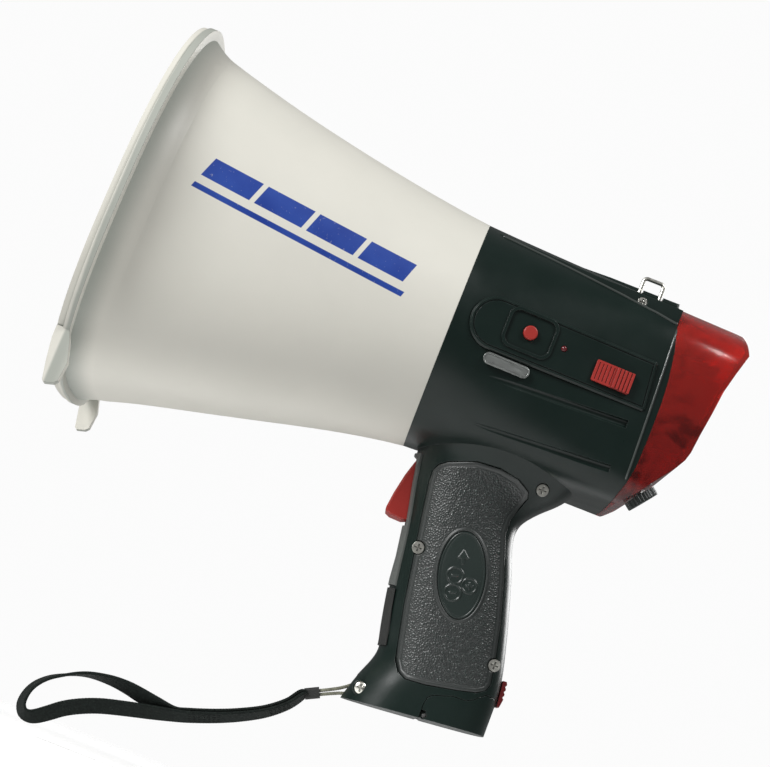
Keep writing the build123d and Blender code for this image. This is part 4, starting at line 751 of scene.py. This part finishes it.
W = np.zeros((nl, 3))
for i in range(nl):
    n3 = np.cross(T[i], np.array([0, 1.0, 0]))
    n3 /= max(np.linalg.norm(n3), 1e-9)
    w = np.array([0, 1.0, 0]) * math.cos(sig[i]) + n3 * math.sin(sig[i])
    w -= T[i] * (w @ T[i])
    W[i] = w / np.linalg.norm(w)
for _ in range(6):
    W = (W + np.roll(W, 1, 0) + np.roll(W, -1, 0)) / 3
    W -= T * np.sum(W * T, axis=1)[:, None]
    W /= np.linalg.norm(W, axis=1)[:, None]
Nn = np.cross(T, W)
NS = 34
HW, HT = 4.75, 0.72
verts = []
for i in range(nl):
    for k in range(NS):
        a = 2 * math.pi * k / NS
        ca, sa = math.cos(a), math.sin(a)
        u = math.copysign(abs(ca) ** 0.28, ca) * HW
        v = math.copysign(abs(sa) ** 0.45, sa) * HT
        face = min(1.0, abs(sa) * 1.6)
        rib = 0.5 + 0.5 * math.sin(2 * math.pi * (t_s[i] / total * round(total / 1.25) + abs(u) / 1.7))
        cord = math.exp(-((abs(u) - 4.2) / 0.5) ** 2)
        v *= 1 + 0.17 * (rib - 0.5) * face + 0.16 * cord
        u *= 1 + 0.012 * math.sin(2 * math.pi * t_s[i] / total * round(total / 1.6))
        verts.append(R(*(pos[i] + W[i] * u + Nn[i] * v)))
faces = [(i * NS + k, i * NS + (k + 1) % NS, ((i + 1) % nl) * NS + (k + 1) % NS, ((i + 1) % nl) * NS + k) for i in range(nl) for k in range(NS)]
webb = new_obj("strap_webbing", verts, faces, M["web"], "strap")
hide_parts("wrist_strap")


def tube(path, radius, sides, closed=False, relief=None, flat_caps=True):
    """Tube of given radius along a path (mm), returned as verts and faces."""
    P, s, L = resample(np.array(path, float), 0.22 if relief else 0.4, closed)
    n = len(P)
    T = np.gradient(P, axis=0)
    T /= np.linalg.norm(T, axis=1)[:, None]
    ref = np.array([0.0, 1.0, 0.0]) if abs(T[0][1]) < 0.9 else np.array([1.0, 0, 0])
    vs, fs = [], []
    A = np.cross(T[0], ref)
    for i in range(n):
        A = A - T[i] * (A @ T[i])
        A /= np.linalg.norm(A)
        B = np.cross(T[i], A)
        for k in range(sides):
            a = 2 * math.pi * k / sides
            r = radius if relief is None else relief(a, s[i])
            if not closed and (i == 0 or i == n - 1):
                r *= 0.6
            vs.append(P[i] + (A * math.cos(a) + B * math.sin(a)) * r)
    for i in range(n - 1):
        for k in range(sides):
            fs.append((i * sides + k, i * sides + (k + 1) % sides, (i + 1) * sides + (k + 1) % sides, (i + 1) * sides + k))
    fs.append(tuple(range(sides))[::-1])
    fs.append(tuple((n - 1) * sides + k for k in range(sides)))
    return vs, fs


# twisted cord from the crimp round the lug screw and back
CR, LG = (5.9, -188.7), (24.2, -179.4)
CD, CP = (0.8915, 0.453), (0.453, -0.8915)   # along the cord and across it
cord = [(CR[0] + CD[0] * d + CP[0] * w, 0, CR[1] + CD[1] * d + CP[1] * w) for d, w in ((0, 0.95), (5, 0.98), (10, 1.15), (14, 1.7), (17.5, 2.5), (19.4, 2.9))]
a0 = math.atan2(-0.8915, 0.453)
for k in range(2, 24):
    a = a0 + math.pi * k / 24
    cord.append((LG[0] + 2.95 * math.cos(a), 0, LG[1] + 2.95 * math.sin(a)))
cord += [(CR[0] + CD[0] * d - CP[0] * w, 0, CR[1] + CD[1] * d - CP[1] * w) for d, w in ((19.4, 2.9), (17.5, 2.5), (14, 1.7), (10, 1.15), (5, 0.98), (0, 0.95))]
vs, fs = tube(cord, 0.86, 20, relief=lambda a, s: 0.70 + 0.17 * abs(math.cos(1.5 * (a - 2 * math.pi * s / 3.4))))
co = new_obj("strap_cord_twist", [R(*v) for v in vs], fs, M["cord"], "strap")
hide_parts("strap_cord")

# box stitching where the two layers are sewn together
vs, fs = [], []
lay = [i for i in range(nl) if off[i] > 0.8]
low = [i for i in range(nl) if off[i] < -0.8]
for group, sgn in ((lay, 1), (low, -1)):
    for row in (-3.0, 3.0, -1.0, 1.0):
        for i in group:
            x = line[i, 0]
            if not (-50 < x < -34) and not (-14 < x < -5):
                continue
            if i % 6:
                continue
            outw = Nn[i] if (Nn[i] @ up_ref) * sgn > 0 else -Nn[i]
            p = pos[i] + W[i] * row + outw * (HT + 0.08)
            seg = [p - T[i] * 0.85 - outw * 0.25, p - T[i] * 0.45, p + T[i] * 0.45, p + T[i] * 0.85 - outw * 0.25]
            v2, f2 = tube(catmull(seg, 4), 0.17, 6)
            k0 = len(vs)
            vs += v2
            fs += [tuple(k0 + q for q in f) for f in f2]
new_obj("strap_stitches", [R(*v) for v in vs], fs, M["thread"], "strap")

# rounded bead along the lower edge of the deck on both sides of the housing
hv, hf = [], []
for n in ("left_housing", "right_housing"):
    k = len(hv)
    hv += [N[n].matrix_world @ v.co for v in N[n].data.vertices]
    hf += [[k + i for i in q.vertices] for q in N[n].data.polygons]
htree = BVHTree.FromPolygons(hv, hf)
for side, tag in ((-1, "left"), (1, "right")):
    path = []
    for x in np.linspace(8.0, 102.5, 64):
        y = 27.5 + (x - 6.0) * (44.0 - 27.5) / 98.0 + 0.45
        loc = htree.ray_cast(R(x, side * y, 90), Vector((0, 0, -1)), 0.2)[0]
        if loc is not None:
            path.append((x, side * y, loc.z / MM - SHIFT[2]))
    zs = np.array([q[2] for q in path])
    zs = np.convolve(np.pad(zs, 4, mode="edge"), np.ones(9) / 9, "valid")
    path = [(x, y, z + 0.1) for (x, y, _), z in zip(path, zs)]
    vs, fs = tube(path, 0.75, 14)
    new_obj(tag + "_deck_bead", [R(*v) for v in vs], fs, M["bead"], "megaphone")

# strap screw seated on the skin of the toe, on a small moulded boss
LUGX, LUGZ = 24.2, -179.4
hits = []
for k in range(12):
    a = 2 * math.pi * k / 12
    loc = htree.ray_cast(R(LUGX + 3.6 * math.cos(a), -90, LUGZ + 3.6 * math.sin(a)), Vector((0, 1, 0)), 0.12)[0]
    if loc is not None:
        hits.append(loc.y / MM)
seat = float(np.median(hits)) - 0.1 if hits else -14.0


def lathe(profile, seg, dent=None):
    """Closed turned solid about y through the strap screw; profile is (radius, y) from axis to axis."""
    vs, fs = [], []
    n = len(profile)
    for i, (rr, y) in enumerate(profile):
        for k in range(seg):
            a = 2 * math.pi * k / seg
            u, v = rr * math.cos(a), rr * math.sin(a)
            vs.append((LUGX + u, y + (dent(u, v) if dent and i < n // 2 else 0.0), LUGZ + v))
    for i in range(n - 1):
        for k in range(seg):
            fs.append((i * seg + k, (i + 1) * seg + k, (i + 1) * seg + (k + 1) % seg, i * seg + (k + 1) % seg))
    fs.append(tuple(range(seg)))
    fs.append(tuple((n - 1) * seg + k for k in range(seg))[::-1])
    return vs, fs


def cross(u, v):
    q = math.hypot(u, v)
    arm = min(max(abs(u) - 1.9, abs(v) - 0.42), max(abs(v) - 1.9, abs(u) - 0.42))
    return (0.75 - 0.15 * q) * float(np.clip(0.5 - arm / 0.16, 0, 1)) if q < 2.6 else 0.0


top = [(r_, seat - 0.6 - 1.5 * math.sqrt(max(0.0, 1 - (r_ / 3.25) ** 2)) + 0.25) for r_ in np.linspace(0.05, 3.02, 34)]
prof = top + [(3.05, seat - 0.75)] + [(3.05, seat - 0.55), (1.5, seat - 0.55)] + [(1.5, y) for y in np.linspace(seat, 9.0, 30)] + [(0.05, 9.0)]
vs, fs = lathe(prof, 120, cross)
screw = new_obj("strap_screw", [R(*v) for v in vs], fs, M["nickel"], "megaphone")
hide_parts("lug_screw")
prof = [(0.05, seat - 0.50), (3.5, seat - 0.50), (3.9, seat - 0.42), (4.05, seat - 0.15), (4.15, seat + 5.0), (0.05, seat + 5.0)]
vs, fs = lathe(prof, 72)
new_obj("strap_screw_boss", [R(*v) for v in vs], fs, M["black"], "megaphone")

# bead round the rear rim of the housing, parallel to its leaning end
rear = np.array([(v.x / MM - SHIFT[0], v.y / MM, v.z / MM - SHIFT[2]) for v in hv])
zb = np.arange(-44.0, 40.0, 7.0)
mx_ = [rear[(np.abs(rear[:, 2] - z) < 3.5) & (np.abs(rear[:, 1]) > 20)][:, 0].max() for z in zb]
lean, at0 = np.polyfit(zb, mx_, 1)
path = []
for k in range(180):
    a = 2 * math.pi * k / 180
    dy, dz = math.cos(a), math.sin(a)
    best = None
    for rr in (110.0,):
        x0 = at0 - 3.0
        o = R(x0 + lean * dz * rr, dy * rr, dz * rr)
        d3 = Vector((-lean * dz, -dy, -dz)).normalized()
        loc = htree.ray_cast(o, d3, 0.13)[0]
        if loc is not None:
            best = (loc.x / MM - SHIFT[0], loc.y / MM, loc.z / MM - SHIFT[2])
    if best:
        path.append(best)
P_ = np.array(path)
rad_ = np.hypot(P_[:, 1], P_[:, 2])
med = np.array([np.median(np.take(rad_, range(i - 4, i + 5), mode="wrap")) for i in range(len(rad_))])
P_[:, 1:] *= (np.minimum(rad_, med) / rad_)[:, None]
rim_path = [tuple(q) for q in P_]
rp, rs, rl = resample(np.array(rim_path), 1.2, True)
n_r = len(rp)
rt = np.roll(rp, -1, 0) - np.roll(rp, 1, 0)
rt /= np.linalg.norm(rt, axis=1)[:, None]
vs, fs = [], []
for i in range(n_r):
    A = np.cross(rt[i], (1.0, 0.0, 0.0))
    A /= np.linalg.norm(A)
    B = np.cross(rt[i], A)
    for k in range(12):
        a = 2 * math.pi * k / 12
        vs.append(rp[i] + (A * math.cos(a) + B * math.sin(a)) * 0.62)
        fs.append((i * 12 + k, i * 12 + (k + 1) % 12, ((i + 1) % n_r) * 12 + (k + 1) % 12, ((i + 1) % n_r) * 12 + k))
new_obj("rear_rim_bead", [R(*v) for v in vs], fs, M["bead"], "megaphone")

# --------------------------------------------------------- stage and camera
ROLL, DOWN, AHEAD, DIST = math.radians(21.8), math.radians(9.0), math.radians(1.6), 1.2
TARGET = R(-20, 0, -34)
c = Vector((math.sin(AHEAD) * math.cos(DOWN), -math.cos(AHEAD) * math.cos(DOWN), -math.sin(DOWN)))
r = Vector((math.cos(AHEAD), math.sin(AHEAD), 0))
up = c.cross(r)
if up.z < 0:
    up = -up
cam_r = r * math.cos(ROLL) + up * math.sin(ROLL)
cam_u = up * math.cos(ROLL) - r * math.sin(ROLL)
cam = bpy.data.objects.new("camera", bpy.data.cameras.new("camera"))
bpy.context.scene.collection.objects.link(cam)
mat = Matrix.Identity(4)
for i in range(3):
    mat[i][0], mat[i][1], mat[i][2], mat[i][3] = cam_r[i], cam_u[i], c[i], TARGET[i] + c[i] * DIST
cam.matrix_world = mat
cam.data.sensor_fit = "HORIZONTAL"
cam.data.sensor_width = 36.0
cam.data.lens = 18.0 / (0.5 * 385 / 1200.0)
cam.data.clip_start = 0.01
bpy.context.scene.camera = cam


def area(name, pos, size, power, target=R(0, 0, -30), col=(1, 1, 1)):
    l = bpy.data.lights.new(name, "AREA")
    l.shape = "DISK"
    l.size = size
    l.energy = power
    l.color = col
    o = bpy.data.objects.new(name, l)
    bpy.context.scene.collection.objects.link(o)
    o.location = pos
    d = Vector(target) - Vector(pos)
    o.rotation_euler = d.to_track_quat("-Z", "Y").to_euler()
    return o


def cam_pos(right, upw, back):
    return TARGET + cam_r * right + cam_u * upw + c * back


area("key", cam_pos(-0.75, 1.15, 0.75), 0.65, 23.5)
area("side", cam_pos(1.15, 0.75, 0.55), 0.45, 10)
area("rear", R(700, 1200, 500), 0.9, 9)

world = bpy.data.worlds.new("studio")
bpy.context.scene.world = world
world.use_nodes = True
wn = world.node_tree
bg = wn.nodes["Background"]
bg.inputs[0].default_value = (1, 1, 1, 1)
lp = wn.nodes.new("ShaderNodeLightPath")
ws = wn.nodes.new("ShaderNodeMapRange")
ws.inputs["To Min"].default_value = 0.15
ws.inputs["To Max"].default_value = 0.97
wn.links.new(lp.outputs["Is Camera Ray"], ws.inputs["Value"])
wn.links.new(ws.outputs["Result"], bg.inputs[1])

# pale floor disc that melts into the pale surroundings at its edge
bm = bmesh.new()
bmesh.ops.create_circle(bm, cap_ends=True, segments=96, radius=2.4)
me = bpy.data.meshes.new("floor")
bm.to_mesh(me)
bm.free()
floor = bpy.data.objects.new("floor", me)
bpy.context.scene.collection.objects.link(floor)
floor.location = (0, 0, cad_box[0][2] - 0.004)
ft = NT("floor_pale")
ft.set(Base_Color=ft.mixc(ft.remap(ft.noise(3.0, 3.0), 0.3, 0.7), (0.88, 0.88, 0.88), (0.92, 0.92, 0.92)), Roughness=1.0, Specular_IOR_Level=0.0, Emission_Color=(1, 1, 1), Emission_Strength=0.30)
ln = ft.node("ShaderNodeVectorMath", operation="LENGTH")
ft.link(ft.coord.outputs["Object"], ln.inputs[0])
fade = ft.remap(ln.outputs["Value"], 0.16, 0.55, 1.0, 0.0, True)
tr = ft.node("ShaderNodeBsdfTransparent")
mx = ft.node("ShaderNodeMixShader")
ft.link(fade, mx.inputs[0])
ft.link(tr.outputs[0], mx.inputs[1])
ft.link(ft.bsdf.outputs[0], mx.inputs[2])
ft.link(mx.outputs[0], ft.out.inputs[0])
me.materials.append(ft.mat)

bpy.context.scene.view_settings.view_transform = "Standard"
